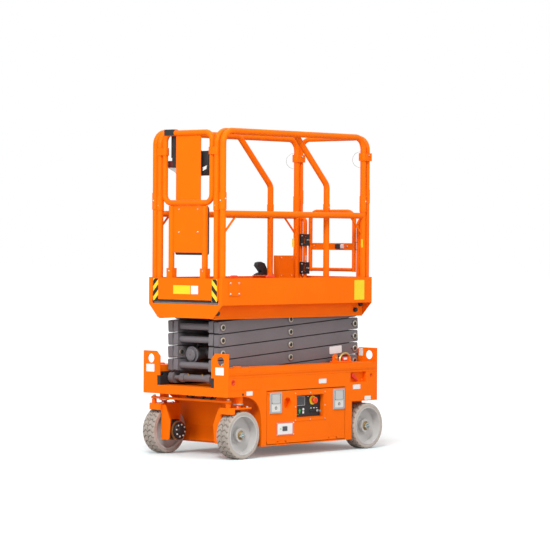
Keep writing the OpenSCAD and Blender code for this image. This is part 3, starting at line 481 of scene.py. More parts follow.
def tri_wave(t):
    t = t - math.floor(t)
    return 4 * abs(t - 0.5) - 1


def tread_depth(u, y, pitch):
    """depth of the groove at a place on the tread, from 0 to 1"""
    zig = 8.0 * tri_wave(y / 40.0) + 0.14 * abs(y)
    t = (u + zig) / pitch
    d1 = abs(t - round(t)) * pitch
    d2 = abs(y - 6.0 * tri_wave(u / pitch))
    deep = 0.0
    for d, w in ((d1, 3.2), (d2, 2.2)):
        deep = max(deep, min(1.0, max(0.0, (w + 0.9 - d) / 1.8)))
    return deep


def make_tyre(end, cx, s):
    form = Form()
    bm = form.bm
    layer = bm.verts.layers.float.new("groove")
    around, lugs = 480, 26
    pitch = 2 * math.pi * WHEEL_R / lugs
    section = [(127.5, -49.0), (133.5, -50.0), (138.0, -50.0), (142.5, -50.0), (147.0, -48.2)]
    section += [(None, -45.5 + 91.0 * i / 30) for i in range(31)]
    section += [(147.0, 48.2), (142.5, 50.0), (138.0, 50.0), (133.5, 50.0), (127.5, 49.0)]
    rows = []
    for i in range(around):
        a = 2 * math.pi * i / around
        row = []
        for r, y in section:
            deep = 0.0
            # the value darkens the rubber: a little on the sidewalls, more on the tread, and most down in the
            # grooves, where it is painted shade
            darker_tread_and_groove_shade = 0.12
            if r is None:
                edge = max(0.0, abs(y) - 38.0) / 8.0
                base = WHEEL_R - 3.0 * edge * edge
                deep = tread_depth(a * WHEEL_R, y, pitch)
                r = base - 6.0 * deep
                darker_tread_and_groove_shade = 0.45 + 0.45 * deep
            v = bm.verts.new((cx + r * math.cos(a), s * HALF_TRACK + y, WHEEL_R + r * math.sin(a)))
            v[layer] = darker_tread_and_groove_shade
            row.append(v)
        rows.append(row)
    for p, q in zip(rows, rows[1:] + rows[:1]):
        for j in range(len(section) - 1):
            bm.faces.new((p[j], p[j + 1], q[j + 1], q[j]))
        bm.faces.new((p[-1], p[0], q[0], q[-1]))
    obj = form.done("tread_" + end, "wheel_" + end, rubber, 40.0)
    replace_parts(obj, "tyre_" + end)


def make_hub(end, cx, s):
    axis = (0, s, 0)
    body = "wheel_" + end

    def at(out):
        return cx, s * (HUB_FACE + out), WHEEL_R

    nut = Form()
    nut.hexhead(at(1.0), axis, 46.0, 9.0)
    for i in range(6):
        for k in (-1, 1):
            b = math.radians(60 * i + 30) + k * 0.26
            nut.knob(ring_point(at(9.8), 19.5, b), axis, 3.6, 6.0, 0.8, 10)
    nut.washer(at(0.0), axis, 18.0, 31.0, 1.4)
    nut.done("hub_nut_" + end, body, aged_brass)
    stub = Form()
    stub.knob(at(15.9), axis, 13.0, 1.2, 0.5)
    stub.done("axle_end_" + end, body, blue_zinc)
    pin = Form()
    bends = ((-25, 12.8, 6), (-12, 18.4, 3), (0, 18.8, 0), (12, 18.4, -3), (27, 12.8, -6.5))
    pin.tube([(cx + x, s * (HUB_FACE + out), WHEEL_R + z) for x, out, z in bends], 2.0, 8)
    pin.washer(at(17.0), axis, 4.0, 7.0, 1.2)
    pin.done("split_pin_" + end, body, zinc)
    ring = Form()
    middle = (cx, s * HALF_TRACK, WHEEL_R)
    ring.lathe(middle, axis, [(118.0, 46.6), (118.5, 48.4), (121.0, 49.4), (125.5, 49.4), (127.0, 48.2),
                              (127.0, 46.6), (118.0, 46.6)], 96)
    ring.lathe(middle, axis, [(39.0, 25.9), (39.0, 27.6), (42.0, 28.4), (44.6, 27.2), (44.6, 22.5),
                              (39.0, 25.9)], 64)
    ring.knob(ring_point((cx, s * 316.6, WHEEL_R), 86, 0.6), axis, 7.0, 3.0, 1.0)
    ring.done("rim_trim_" + end, body, rim_paint)


for end, (cx, s) in WHEELS.items():
    make_tyre(end, cx, s)
    make_hub(end, cx, s)


# Steering knuckles and drive motors

MOTOR_FACE = 186.0

for s, name in HANDS:
    body = name + "_knuckle"
    bits = Form()
    for x, y in ((566, 296), (566, 364), (654, 296), (654, 364)):
        bits.bolt((x, s * y, 328.0), UP, 13.0)
    bits.hexhead((702, s * HALF_TRACK, 378.0), UP, 17.0, 7.0)
    bits.done("knuckle_bolts_" + name, body, zinc)
    face = s * MOTOR_FACE
    flange = Form()
    flange.washer((AXLE_X, s * 248.2, WHEEL_R), (0, -s, 0), 55.6, 64.5, 4.0, 64)
    flange.washer((AXLE_X, s * 206.0, WHEEL_R), (0, -s, 0), 55.3, 63.0, 12.0, 64)
    flange.done("motor_ring_" + name, body, bronze)
    cover = Form()
    cover.lathe((AXLE_X, face, WHEEL_R), (0, -s, 0), [(0, 0), (50, 0), (50, 4), (47, 7), (24, 8), (22, 13),
                                                      (14, 15), (0, 15)], 48)
    cover.box((596, face + s * 24, 205), (624, face + s * 58, 222), 3.0)
    cover.done("motor_cover_" + name, body, dark_iron)
    heads = Form()
    for i in range(8):
        a = math.radians(45 * i + 12)
        heads.hexhead(ring_point((AXLE_X, face - s * 6.4, WHEEL_R), 39, a), (0, -s, 0), 11.0, 4.5)
    heads.done("motor_bolts_" + name, body, bright_zinc)

link = Form()
for s in SIDES:
    link.washer((702, s * HALF_TRACK, 373.0), UP, 10.6, 17.0, 2.5)
link.done("tie_rod_washers", "steering_link", brass)


# Pipe under the front beam

pipe = Form()
pipe.tube([(585, y, z) for y, z in ((-150, 396.8), (-150, 382), (-144, 374), (-136, 371), (96, 371),
                                    (104, 374), (110, 382), (110, 396.8))], 6.5, 20)
for y in (-100, 0, 70):
    pipe.box((570, y - 9, 362), (600, y + 9, 396.8), 3.0)
pipe.done("beam_pipe", "chassis", dark_iron)


# Scissor pins, grease points, a blank plate, end of the lift cylinder

ARM_LEN = 1290.0
PIN_BACK = 640.0
ROW_Z = 500.0
ROW_STEP = 83.0
REST = math.asin(ROW_STEP / ARM_LEN)
FRONT = ARM_LEN * math.cos(REST) - PIN_BACK
ARM_SLOPE = -0.0645
BARREL_TILT = math.radians(4.506)


def along_outer(k, t):
    return FRONT - t * ARM_LEN * math.cos(REST), ROW_Z + (k - 1) * ROW_STEP + t * ROW_STEP


for k in range(1, 6):
    rings, heads = Form(), Form()
    for s in SIDES:
        for t in (0.0, 0.5, 1.0):
            if t == 0.0 and k == 1:
                continue
            x, z = along_outer(k, t)
            out = (0, s, 0)
            rings.washer((x, s * STACK_FACE, z), out, 13.0, 20.5, 2.6, 40)
            rings.lathe((x, s * STACK_FACE, z), out, [(13.0, 0), (13.0, 3.0), (14.6, 3.6), (15.6, 2.4)], 40)
            heads.lathe((x, s * STACK_FACE, z), out, [(0, 0), (12.9, 0), (12.9, 4.2), (11.4, 5.6), (5.2, 6.0),
                                                      (4.4, 3.4), (0, 3.4)], 40)
            dx = -27.0 if t < 1.0 else 27.0
            heads.screw((x + dx, s * 225.2, z + dx * ARM_SLOPE), out, 5.0)
    rings.done("pin_rings_%d" % k, "outer_%d" % k, ring_zinc)
    heads.done("pin_bolts_%d" % k, "outer_%d" % k, dark_iron)

caps, rings = Form(), Form()
for s in SIDES:
    x, z = FRONT, ROW_Z + 2 * ROW_STEP
    rings.washer((x, s * 136.9, z), (0, -s, 0), 13.0, 20.5, 3.0, 40)
    caps.lathe((x, s * 136.9, z), (0, -s, 0), [(0, 0), (12.9, 0), (12.9, 4.6), (11.4, 6.0), (0, 6.4)], 40)
rings.done("inner_rings", "inner_2", ring_zinc)
caps.done("inner_caps", "inner_2", dark_iron)

grease = Form()
for y in (-60, 66):
    grease.lathe((FRONT + 13, y, ROW_Z + 20), (0.55, 0, 0.83),
                 [(0, 0), (5.5, 0), (5.5, 4), (3.2, 5), (3.2, 9), (4.4, 10.5), (3.0, 13), (0, 13)], 12)
grease.done("grease_nipples", "outer_1", brass)
tag = Form()
tag_at = Matrix.Translation((-449, 0, 660))
tag.prism(frame_of(-449, 660, 124, 50, 7), on_left(225.1), 1.0, 0.3,
          tag_at @ Matrix.Rotation(REST, 4, "Y") @ tag_at.inverted())
tag.done("arm_plate", "outer_2", white)
disc = Form()
bar_dir = Vector((math.cos(BARREL_TILT), 0, -math.sin(BARREL_TILT)))
tip = Vector((518.6, -70.0, 657.7)) + bar_dir * 110.0
disc.lathe(tip, bar_dir, [(0, 0), (40.0, 0), (40.0, 7), (38, 9), (30, 10), (29, 12.5), (5.0, 12.5), (4.0, 9),
                          (0, 9)], 48)
disc.hexhead(tip - bar_dir * 40, bar_dir, 84.0, 18.0)
disc.lathe(tip - bar_dir * 18, bar_dir, [(40.1, 0), (54.0, 0), (54.0, 10.0), (52.0, 12.0), (40.1, 12.0),
                                         (40.1, 0)], 48)
disc.done("barrel_end", "barrel", grey)
port = Form()
port.knob(tip - bar_dir * 60 + Vector((0, 0, 38)), UP, 11.0, 16.0, 2.0, 6)
port.tube([tip - bar_dir * 60 + Vector((0, 0, 50)), tip - bar_dir * 60 + Vector((0, 6, 58)),
           tip - bar_dir * 82 + Vector((0, 14, 62)), tip - bar_dir * 120 + Vector((0, 16, 58)),
           tip - bar_dir * 200 + Vector((0, 10, 50))], 7.0, 20)
port.knob(tip + bar_dir * 8.9, bar_dir, 4.0, 1.6, 0.5, 20)
port.done("barrel_port", "barrel", hose)


# Base: blank plates, fittings and beads

plates = Form()
for x0, x1, z0, z1 in ((526, 583, 402, 430), (-186, -111, 454, 484), (-529, -453, 403, 433),
                       (-637, -574, 326, 354)):
    outline = frame_of((x0 + x1) / 2, (z0 + z1) / 2, x1 - x0, z1 - z0, 4)
    for s in SIDES:
        plates.prism(outline, on_side(s, SIDE_FACE), 0.8, 0.2)
for s in SIDES:
    plates.prism(frame_of(s * 309 - 6, 560, 74, 50, 5), on_front(754.1), 0.8, 0.2)
    plates.prism(frame_of(s * 241, 640, 36, 52, 5), on_front(-692.9), 0.8, 0.2)
plates.done("base_plates", "chassis", white)

fit = Form()
for s in SIDES:
    for x, z in ((560, 560), (-420, 545)):
        fit.screw((x, s * FLANGE_FACE, z), (0, s, 0), 6.0)
    for x in (470, 120, -230, -580):
        fit.screw((x, s * 300.0, BASE_TOP), UP, 7.0)
    fit.lathe((636, s * 342.0, BASE_TOP), UP, [(0, 0), (30, 0), (30, 7), (26, 10), (0, 10.5)], 40)
fit.done("base_fittings", "chassis", orange)
holes = Form()
for s in SIDES:
    holes.knob((616, s * (SIDE_FACE - 0.05), 412), (0, s, 0), 7.0, 5.0, 1.5, 6)
holes.done("base_holes", "chassis", dark_iron)

# red rings round the lug holes and red cups inside them are painted shade on the holes' inner walls
hole_shade_rings = Form()
for s in SIDES:
    hole_shade_rings.washer((706, s * (SIDE_FACE - 0.05), 490), (0, s, 0), 12.6, 18.5, 1.2, 40)
    for x in (706, -642):
        hole_shade_rings.lathe((x, s * 362.0, 490), (0, s, 0), [(0, 0), (16, 0), (16, 5.8), (13, 5.8), (12, 4.6),
                                                    (0, 4.6)], 40)
hole_shade_rings.done("hole_rims_painted_shade", "chassis", red_paint)
bead = Form()
for s in SIDES:
    for x, face, z, r in ((-690, FLANGE_FACE, 548, 2.0), (-690, SIDE_FACE, 519, 2.0),
                          (470, SIDE_FACE, 441, 1.8)):
        bead.tube([(x, s * (face - 0.5), z), (744, s * (face - 0.5), z)], r, 20)
bead.done("side_beads", "chassis", orange)
fill = Form()
for s in SIDES:
    fill.prism([(684, 474), (725.5, 474), (725.5, 513), (716, 526), (684, 526)], on_side(s, 230.5), 19.0, 1.5)
fill.done("track_ends", "chassis", black)
band = Form()
for s in SIDES:
    band.washer((AXLE_X, s * HALF_TRACK, 345), UP, 30.1, 34.0, 7.0, 48)
band.done("sleeve_bands", "chassis", zinc)


# Service arm rest on the base

catch = Form()
catch.box((-500, 268, BASE_TOP), (-344, 332, 590), 2.0)
catch.prism([(-348, 588), (-348, 622), (-360, 634), (-386, 634), (-398, 622), (-398, 588)],
            on_left(284.0), 8.0, 1.5)
catch.box((-496, 284, 588), (-484, 320, 616), 2.0)
catch.done("arm_rest_base", "chassis", orange)
arch = Form()
bend = [math.radians(a) for a in range(0, 181, 12)]
arch.tube([(-398, 306, 588)] + [(-450 + 52 * math.cos(a), 306, 594 + 46 * math.sin(a)) for a in bend]
          + [(-502, 306, 588)], 8.0, 20)
arch.knob((-374, 292, 612), LEFT, 9.0, 6.0, 1.5, 20)
arch.done("arm_rest_arch", "chassis", brass)
clip = Form()
clip.box((-478, 300, 592), (-420, 312, 616), 3.0)
clip.done("arm_rest_grip", "chassis", red)
tab = Form()
tab.prism(frame_of(-449, 604, 36, 14, 2), on_left(312.0), 0.8, 0.2)
tab.done("arm_rest_tab", "chassis", white)


# Pull switch

pull = Form()
pull.prism([(-448, 498), (-462, 506), (-482, 494), (-514, 462), (-516, 458), (-506, 455), (-478, 472),
            (-452, 484)], on_left(360.0), 11.0, 3.0)
pull.lathe((-458, 346, 492), LEFT, [(0, 0), (14, 0), (14, 12), (10, 15), (0, 15)], 28)
pull.done("pull_switch", "chassis", red)
nut = Form()
nut.bolt((-446, 346.2, 486), LEFT, 11.0)
nut.screw((-578, 346.2, 462), LEFT, 4.0)
nut.done("pull_switch_bolt", "chassis", zinc)


# Inside the doors: battery lids and links, pump unit

lids = Form()
for x0, x1 in ((-348, -149), (-141, 58)):
    lids.box((x0, -298, 330), (x1, 58, 341), 3.0)
    for i in range(6):
        lids.box((x0 + 12 + 32 * i, -303, 96), (x0 + 20 + 32 * i, -299.6, 318), 1.2)
        lids.box((x0 + 12 + 32 * i, 59.6, 96), (x0 + 20 + 32 * i, 63, 318), 1.2)
lids.done("battery_lids", "chassis", dark_iron)
posts, links = Form(), Form()
for x in (-320, -176, -114, 30):
    for y in (-262, 22):
        posts.lathe((x, y, 341), UP, [(0, 0), (15, 0), (15, 6), (9, 9), (9, 22), (0, 23)], 24)
        links.hexhead((x, y, 360.5), UP, 13.0, 6.0)
links.box((-188, -270, 354), (-102, -254, 360.8), 1.5)
links.box((-332, 14, 354), (-164, 30, 360.8), 1.5)
links.box((-126, 14, 354), (42, 30, 360.8), 1.5)
posts.done("battery_posts", "chassis", red)
links.done("battery_links", "chassis", zinc)
pump = Form()
pump.lathe((310, 250, 186), LEFT, [(0, 0), (58, 0), (58, 10), (52, 12), (52, 34), (46, 40), (16, 42),
                                   (0, 42)], 48)
for i in range(7):
    pump.box((136 + 14 * i, 249.6, 110), (142 + 14 * i, 266, 250), 1.2)
    pump.box((136 + 14 * i, -236, 110), (142 + 14 * i, -219.6, 250), 1.2)
pump.box((126, -200, 300), (384, 230, 309), 3.0)
pump.done("pump_unit", "chassis", grey)
taps = Form()
for i, y in enumerate((-140, -60, 60, 140)):
    taps.hexhead((170 + 56 * i, y, 309), UP, 26.0, 9.0)
    taps.lathe((170 + 56 * i, y, 318), UP, [(0, 0), (9, 0), (9, 12), (6, 16), (0, 16)], 24)
for i in range(6):
    taps.bolt(ring_point((310, 290.0, 186), 36, math.radians(60 * i)), LEFT, 8.0)
taps.done("pump_taps", "chassis", brass)


# Side doors: latches, cups and screws

def make_latch(x, side, body, tag):
    to3 = on_side(side, 381.0)
    rim = Form()
    outer = frame_of(x, 345, 112, 134, 12)
    inner = frame_of(x, 346, 84, 112, 6)
    rim.bands(to3, ((0.0, outer), (2.2, outer), (3.4, frame_of(x, 345, 108, 130, 11)),
                    (3.4, frame_of(x, 346, 88, 116, 7)), (2.4, inner), (0.2, inner)))
    rim.done("latch_rim_" + tag, body, nylon)
    well = Form()
    well.prism(inner, to3, 0.4, 0.0)
    well.done("latch_well_" + tag, body, bright_nylon)
    paddle = Form()
    paddle.prism(frame_of(x, 371, 72, 56, 4), to3, 3.6, 1.0)
    paddle.prism(frame_of(x, 339, 72, 6, 2), to3, 2.4, 0.6)
    paddle.done("latch_paddle_" + tag, body, pale_nylon)
    lock = Form()
    # the dark bar under the paddle and the strips beside it are painted shade in the gaps round the paddle;
    # the washer and slot below are the lock
    lock.prism(frame_of(x, 344, 80, 7, 1.5), to3, 1.0, 0.3)
    for u in (x - 39.5, x + 39.5):
        lock.prism(frame_of(u, 372, 3, 58, 1.0), to3, 1.0, 0.3)
    foot = to3(x, 313, 0.4)
    lock.washer(foot, (0, side, 0), 7.5, 10.0, 2.2)
    lock.prism(frame_of(x, 313, 2.4, 9, 1), lambda u, v, w: to3(u, v, w + 0.3), 0.6, 0.0)
    lock.done("latch_gap_shade_and_lock_" + tag, body, black)


for side, name in HANDS:
    body = name + "_door"
    make_latch(310.0, side, body, name + "_front")
    make_latch(-308.0, side, body, name + "_rear")
    cup = Form()
    x = 194.0 if side > 0 else -194.0
    cup.lathe((x, side * 376, 342), (0, side, 0), [(0, -34), (34.6, -34), (34.6, -0.5), (35.2, 0.8),
                                                   (38.0, 0.6), (38.4, 0.0)], 48)
    for sx in (-365, 381):
        for z in (110, 408):
            cup.screw((sx, side * 376.0, z), (0, side, 0), 4.0)
    cup.done("door_cup_" + name, body, orange)


# Control panel in the left door

PANEL_X, PANEL_Z = -25.0, 312.0
PANEL_FACE = 351.2

face = Form()
face.prism(frame_of(PANEL_X, PANEL_Z, 256, 138, 5), on_left(348.2), 3.0, 0.8)
face.done("panel_face", "left_door", black)
lip = Form()
outer = frame_of(PANEL_X, PANEL_Z, 306, 190, 6)
inner = frame_of(PANEL_X, PANEL_Z, 268, 150, 3)
lip.bands(on_left(SIDE_FACE), ((0.0, outer), (2.0, outer), (3.0, frame_of(PANEL_X, PANEL_Z, 303, 187, 5)),
                               (3.0, frame_of(PANEL_X, PANEL_Z, 272, 154, 4)), (0.5, inner), (-24.0, inner)))
lip.done("panel_surround", "left_door", orange)
pins = Form()
for x, z in ((120, 399), (-25, 399), (-170, 399), (120, 312), (-170, 312), (120, 225), (-25, 225),
             (-170, 225)):
    pins.screw((x, 379.0, z), LEFT, 4.2)
pins.done("panel_screws", "left_door", zinc)
display = Form()
display.prism(frame_of(44, 345, 78, 50, 4), on_left(352.4), 1.6, 0.5)
display.done("panel_display", "left_door", glass)
bezel = Form()
for x0, x1, z0, z1 in ((0, 88, 371.5, 375), (0, 88, 315, 318.5), (0, 3.5, 315, 375), (84.5, 88, 315, 375)):
    bezel.box((x0, 351.0, z0), (x1, 355.0, z1), 0.8)
bezel.done("panel_display_frame", "left_door", nylon)
ring = Form()
ring.lathe((-76, PANEL_FACE, 347), LEFT, [(0, 0), (30, 0), (30, 3), (28.5, 4.2), (21, 5), (0, 5)], 48)
ring.done("stop_disc", "left_door", yellow)
stop = Form()
stop.lathe((-76, 356, 347), LEFT, [(0, 0), (11, 0), (11, 9), (20, 10), (21.5, 13), (21, 20), (16, 25.5),
                                   (8, 27.5), (0, 28)], 40)
stop.done("stop_button", "left_door", red)
keys = Form()
for x in (-128, -140):
    keys.box((x - 4, 351, 338), (x + 4, 356, 358), 1.5)
for x in (-62, -92):
    keys.lathe((x, PANEL_FACE, 276), LEFT, [(0, 0), (11, 0), (11, 4), (7, 6), (4, 7), (3.4, 20), (0, 21)], 24)
keys.box((-128, 351, 266), (-108, 356, 286), 2.0)
keys.done("panel_switches", "left_door", black)
lamp = Form()
lamp.prism([(54, 264), (44, 264), (44, 280), (36, 280), (49, 296), (62, 280), (54, 280)],
           on_left(PANEL_FACE), 1.2, 0.3)
for x in (66, 78):
    lamp.knob((x, PANEL_FACE, 258), LEFT, 4.0, 3.0, 1.0, 16)
lamp.done("panel_lamp_green", "left_door", green)
light = Form()
light.knob((14, PANEL_FACE, 290), LEFT, 8.5, 2.4, 0.8, 24)
light.box((6, 351, 262), (22, 353, 276), 1.0)
for x in (-62, -92, -118):
    light.box((x - 7, 351.0, 292), (x + 7, 352.0, 297), 0.4)
for x in (-28, -36):
    light.knob((x, PANEL_FACE, 372), LEFT, 2.6, 1.6, 0.5, 12)
light.done("panel_marks", "left_door", white)
key = Form()
key.lathe((-118, 356, 276), LEFT, [(0, 0), (9, 0), (9, 3), (7, 4), (0, 4)], 24)
key.box((-119.5, 358, 270), (-116.5, 378, 282), 1.0)
key.washer((-118, 379, 276), FORE, 4.0, 10.0, 2.4, 20)
key.done("panel_key", "left_door", zinc)


# Charger window in the left door

meter = Form()
meter.prism(frame_of(216, 175, 166, 86, 5), on_left(SIDE_FACE), 3.0, 1.0)
meter.done("charger_frame", "left_door", rose)
inset = Form()
inset.prism(frame_of(220, 175, 142, 70, 4), on_left(379.0), 1.0, 0.3)
inset.done("charger_window", "left_door", white)
dial = Form()
dial.prism(frame_of(222, 176, 46, 30, 3), on_left(379.9), 1.6, 0.5)
dial.done("charger_display", "left_door", glass)
spot = Form()
spot.knob((262, 379.9, 176), LEFT, 4.0, 2.0, 0.8, 16)
spot.done("charger_lamp", "left_door", green)
ear = Form()
for x in (138, 294):
    for z in (138, 212):
        ear.screw((x, 379.0, z), LEFT, 4.2)
ear.done("charger_screws", "left_door", zinc)


# Platform plates, bolts, pads, and a black strip of painted shade

TOE_FACE = 326.0

board = Form()
for s in SIDES:
    board.prism(frame_of(646, 1081, 102, 94, 4), on_side(s, TOE_FACE), 4.0, 1.0)
board.done("rail_plates", "platform", orange)
studs = Form()
for s in SIDES:
    for x in (608, 686):
        for z in (1048, 1116):
            studs.screw((x, s * (TOE_FACE + 4.0), z), (0, s, 0), 7.0)
    for x in (729, -635):
        studs.screw((x, s * 322.6, 1651), (0, s, 0), 5.5)
    studs.screw((752.6, s * RAIL_Y, 1640), FORE, 5.5)
    studs.screw((-693.6, s * RAIL_Y, 1703), AFT, 5.5)
    studs.screw((-661.4, s * RAIL_Y, 1703), FORE, 5.5)
for x, z in ((-450, 1270), (-450, 1150), (-555, 1150), (-555, 1270)):
    studs.screw((x, -268, z), LEFT, 5.0)
studs.done("platform_bolts", "platform", zinc)
sign = Form()
for s in SIDES:
    sign.prism(frame_of(-571, 1061, 102, 132, 4), on_side(s, TOE_FACE + 0.1), 0.9, 0.3)
    sign.prism(frame_of(s * 309, 1372, 20, 56, 3),
               lambda u, v, w: (-615.2 + w + (abs(u) - 309) * 0.1, u, v), 0.8, 0.2)
sign.done("yellow_plates", "platform", yellow)
pads = Form()
for s in SIDES:
    for x, z in ((730, 924), (-611, 926), (-663, 963)):
        pads.lathe((x, s * 250.1, z), (0, s, 0), [(0, 0), (15, 0), (15, 14), (12, 20), (7, 22), (0, 22)], 24)
# this black strip under the front of the deck extension is painted shade: the dark gap below the front plate
pads.box((753.0, -284, 991), (759.4, 284, 999.6), 1.0)
pads.done("rubber_pads_and_shadow_strip", "platform", black)


# Clamps with lock pins at the rear corners

CLAMP_X = -656.0

clamp = Form()
for s in SIDES:
    clamp.prism(frame_of(CLAMP_X, s * RAIL_Y, 92, 52, 14), on_top(1924.0), 52.0, 2.0)
clamp.done("rail_clamps", "platform", orange)
pin = Form()
for s in SIDES:
    pin.tube([(CLAMP_X, s * RAIL_Y - 34, 1962), (CLAMP_X, s * RAIL_Y + 34, 1962)], 5.0, 20)
    pin.washer((CLAMP_X, s * RAIL_Y - 32, 1962), (0, -1, 0), 4.0, 9.0, 2.0, 20)
    pin.tube([ring_point((CLAMP_X, s * RAIL_Y - 36, 1951), 11, math.radians(a)) for a in range(0, 360, 24)],
             1.4, 8, True)
pin.done("rail_lock_pins", "platform", zinc)


# Foot pedal and deck locks

pedal = Form()
pedal.prism([(-384, 1160), (-384, 1168), (-330, 1176), (-300, 1232), (-262, 1244), (-232, 1238), (-222, 1216),
             (-252, 1196), (-276, 1170), (-240, 1166), (-236, 1158)], on_left(-316), 34.0, 3.0)
pedal.box((-380, -320, 1152), (-226, -276, 1160), 2.0)
pedal.done("foot_pedal", "platform", black)
spring = Form()
spring.lathe((-322, -299, 1162), (-0.3, 0, 1), [(0, 0), (9, 0), (9, 30), (6, 34), (0, 34)], 20)
spring.tube(coil(-346, -280, 1164, 9, 0.7), 1.6, 6)
spring.done("foot_pedal_pin", "platform", brass)
step = Form()
step.box((-390, -322, 1147), (-216, -272, 1152.5), 1.5)
step.done("foot_pedal_base", "platform", orange)
lever = Form()
for x in (300, 640):
    lever.prism([(x - 46, 1147), (x - 40, 1158), (x - 26, 1166), (x + 20, 1166), (x + 34, 1160),
                 (x + 40, 1147)], on_left(306), 14.0, 3.0)
lever.done("deck_lock_levers", "platform", red_paint)


# Gate hinges and latch

HINGE_X, HINGE_Y = -659.5, -231.0
HINGE_ZS = (1200, 1392)
GATE_FACE = -672.4

hinge = Form()
for z in HINGE_ZS:
    hinge.box((-654.0, -281, z - 42), (-650.0, -246, z + 42), 1.5)
    for e in (-1, 1):
        hinge.box((-673.0, -258, z + 31.75 * e - 7.75), (-651.5, -223.5, z + 31.75 * e + 7.75), 2.0)
    hinge.box((-663.0, -281, z - 42), (-650.0, -274, z + 42), 1.5)
hinge.done("gate_hinge_leaves", "platform", black)
leaf = Form()
for z in HINGE_ZS:
    leaf.box((-653.5, -220, z - 40), (-648.0, -192, z + 40), 2.0)
    leaf.lathe((HINGE_X, HINGE_Y, z - 21.5), UP, [(9.1, 0), (11.0, 0.6), (11.0, 42.4), (9.1, 43)], 32)
leaf.done("gate_hinge_flaps", "gate_frame", black)
leaf_screws = Form()
for z in HINGE_ZS:
    for dz in (-28, 28):
        leaf_screws.screw((-650.0, -259, z + dz), FORE, 4.5)
leaf_screws.done("gate_hinge_screws", "platform", bright_zinc)
flap_screws = Form()
for z in HINGE_ZS:
    for y in (-210, -195):
        flap_screws.screw((-648.0, y, z), FORE, 4.0)
flap_screws.tube(coil(HINGE_X, HINGE_Y, 1240, 8, 0.8), 1.6, 6)
flap_screws.done("gate_hinge_bolts", "gate_frame", bright_zinc)
bolt = Form()
bolt.box((GATE_FACE, 34, 1334), (-654.0, 78, 1366), 2.5)
bolt.done("gate_latch", "gate_frame", black)
# the thin dark maroon bracket on the post is painted shade along the edges of the bracket
shaded_strike = Form()
shaded_strike.box((-664.5, 207.0, 1326), (-660.5, 210.0, 1380), 0.8)
for z in (1326, 1377):
    shaded_strike.box((-664.5, 209.0, z), (-660.5, 230.0, z + 3), 0.8)
shaded_strike.done("gate_strike_painted_shade", "platform", maroon)
tongue = Form()
tongue.box((GATE_FACE, 79, 1336), (-656.0, 104, 1364), 2.5)
tongue.done("gate_latch_slide", "gate_frame", white)
gate_studs = Form()
gate_studs.screw((GATE_FACE, 130, 1352), FORE, 6.0)
gate_studs.screw((GATE_FACE, -170, 1350), FORE, 6.0)
gate_studs.done("gate_studs", "gate_frame", zinc)


# Deck extension: front plates, bolts and clamps

POST_X, REAR_POST_X = 734.0, -317.6

stripe = Form()
for y in (-264.5, 258.5):
    stripe.prism(frame_of(y, 1068, 45, 142, 1.5), on_front(EXT_FACE), 0.8, 0.2)
stripe.done("hazard_plates", "extension", hazard)
mark = Form()
mark.prism(frame_of(-29, 1070, 152, 56, 3), on_front(EXT_FACE), 0.8, 0.2)
mark.done("front_plate_yellow", "extension", yellow)
mark = Form()
mark.prism(frame_of(85, 1070, 62, 54, 3), on_front(EXT_FACE), 0.8, 0.2)
mark.done("front_plate_white", "extension", white)
studs = Form()
for y in (-80, 86):
    for z in (1438, 1584):
        studs.screw((737.0, y, z), FORE, 5.0)
for y in (-149, 149):
    studs.screw((755.2, y, 1190), FORE, 5.0)
for s in SIDES:
    studs.screw((754.0, s * EXT_Y, 1608), FORE, 5.0)
    studs.screw((REAR_POST_X, s * 274.5, 1608), (0, s, 0), 5.0)
studs.done("extension_bolts", "extension", zinc)
collar = Form()
for s in SIDES:
    collar.prism(frame_of(POST_X, s * 230, 46, 84, 18), on_top(1930.0), 48.0, 2.0)
    collar.lathe((POST_X, s * EXT_Y, 1575), UP, [(20.2, 0), (23.0, 1.5), (23.0, 96), (22.0, 98),
                                                 (20.2, 98)], 40)
    collar.lathe((REAR_POST_X, s * EXT_Y, 1585), UP, [(20.2, 0), (22.6, 1.5), (22.6, 44), (21.8, 46),
                                                      (20.2, 46)], 40)
collar.done("extension_clamps", "extension", orange)


# Control box

LEAN = (-0.12, 0, 1)
HOOD_BACK, HOOD_FACE = 638.0, 713.1

hood = Form()
hood.prism([(-206, 1896), (-206, 1853), (-118, 1812), (-40, 1799), (40, 1799), (72, 1806), (146, 1834),
            (150, 1957), (72, 1945), (-112, 1935), (-112, 1896)], on_front(HOOD_BACK), 75.0, 3.0)
hood.lathe((676, -20, 1940), LEAN, [(0, 0), (30, 0), (27, 7), (20, 14), (13, 22), (9, 30), (8, 60), (13, 66),
                                    (15, 84), (13, 98), (6, 104), (0, 105)], 32)
for y in (-94, -72):
    hood.lathe((664, y, 1936), LEAN, [(0, 0), (11, 0), (11, 4), (6, 6), (4, 8), (4.6, 24), (0, 26)], 20)
hood.box((710, -199, 2057), (758, -120, 2096), 3.0)
hood.box((712, -160, 1851), (718, -119, 2058), 1.5)
hood.done("control_hood", "extension", black)
tray = Form()
tray.prism([(-206, 1852), (-118, 1852), (-118, 1811)], on_front(713.2), 3.0, 0.6)
tray.done("control_tray", "extension", nylon)
side = Form()
side.prism(frame_of(-182, 1876, 40, 38, 3), on_front(HOOD_FACE), 2.0, 0.6)
side.done("control_side", "extension", maroon)
pad = Form()
pad.lathe((672, 34, 1938), LEAN, [(0, 0), (22, 0), (22, 4), (0, 5)], 36)
pad.done("control_stop_disc", "extension", yellow)
pad = Form()
pad.lathe((672, 34, 1942), LEAN, [(0, 0), (9, 0), (9, 8), (17, 9), (18, 14), (14, 20), (0, 22)], 32)
pad.done("control_stop", "extension", red)
pad = Form()
pad.prism([(104, 1850), (142, 1863), (138, 1840), (107, 1828)], on_front(HOOD_FACE), 0.8, 0.2)
pad.done("control_plates", "extension", white)
face = Form()
face.prism(frame_of(20, 1876, 150, 74, 8), lambda u, v, w: (HOOD_BACK - w, u, v), 2.4, 0.8)
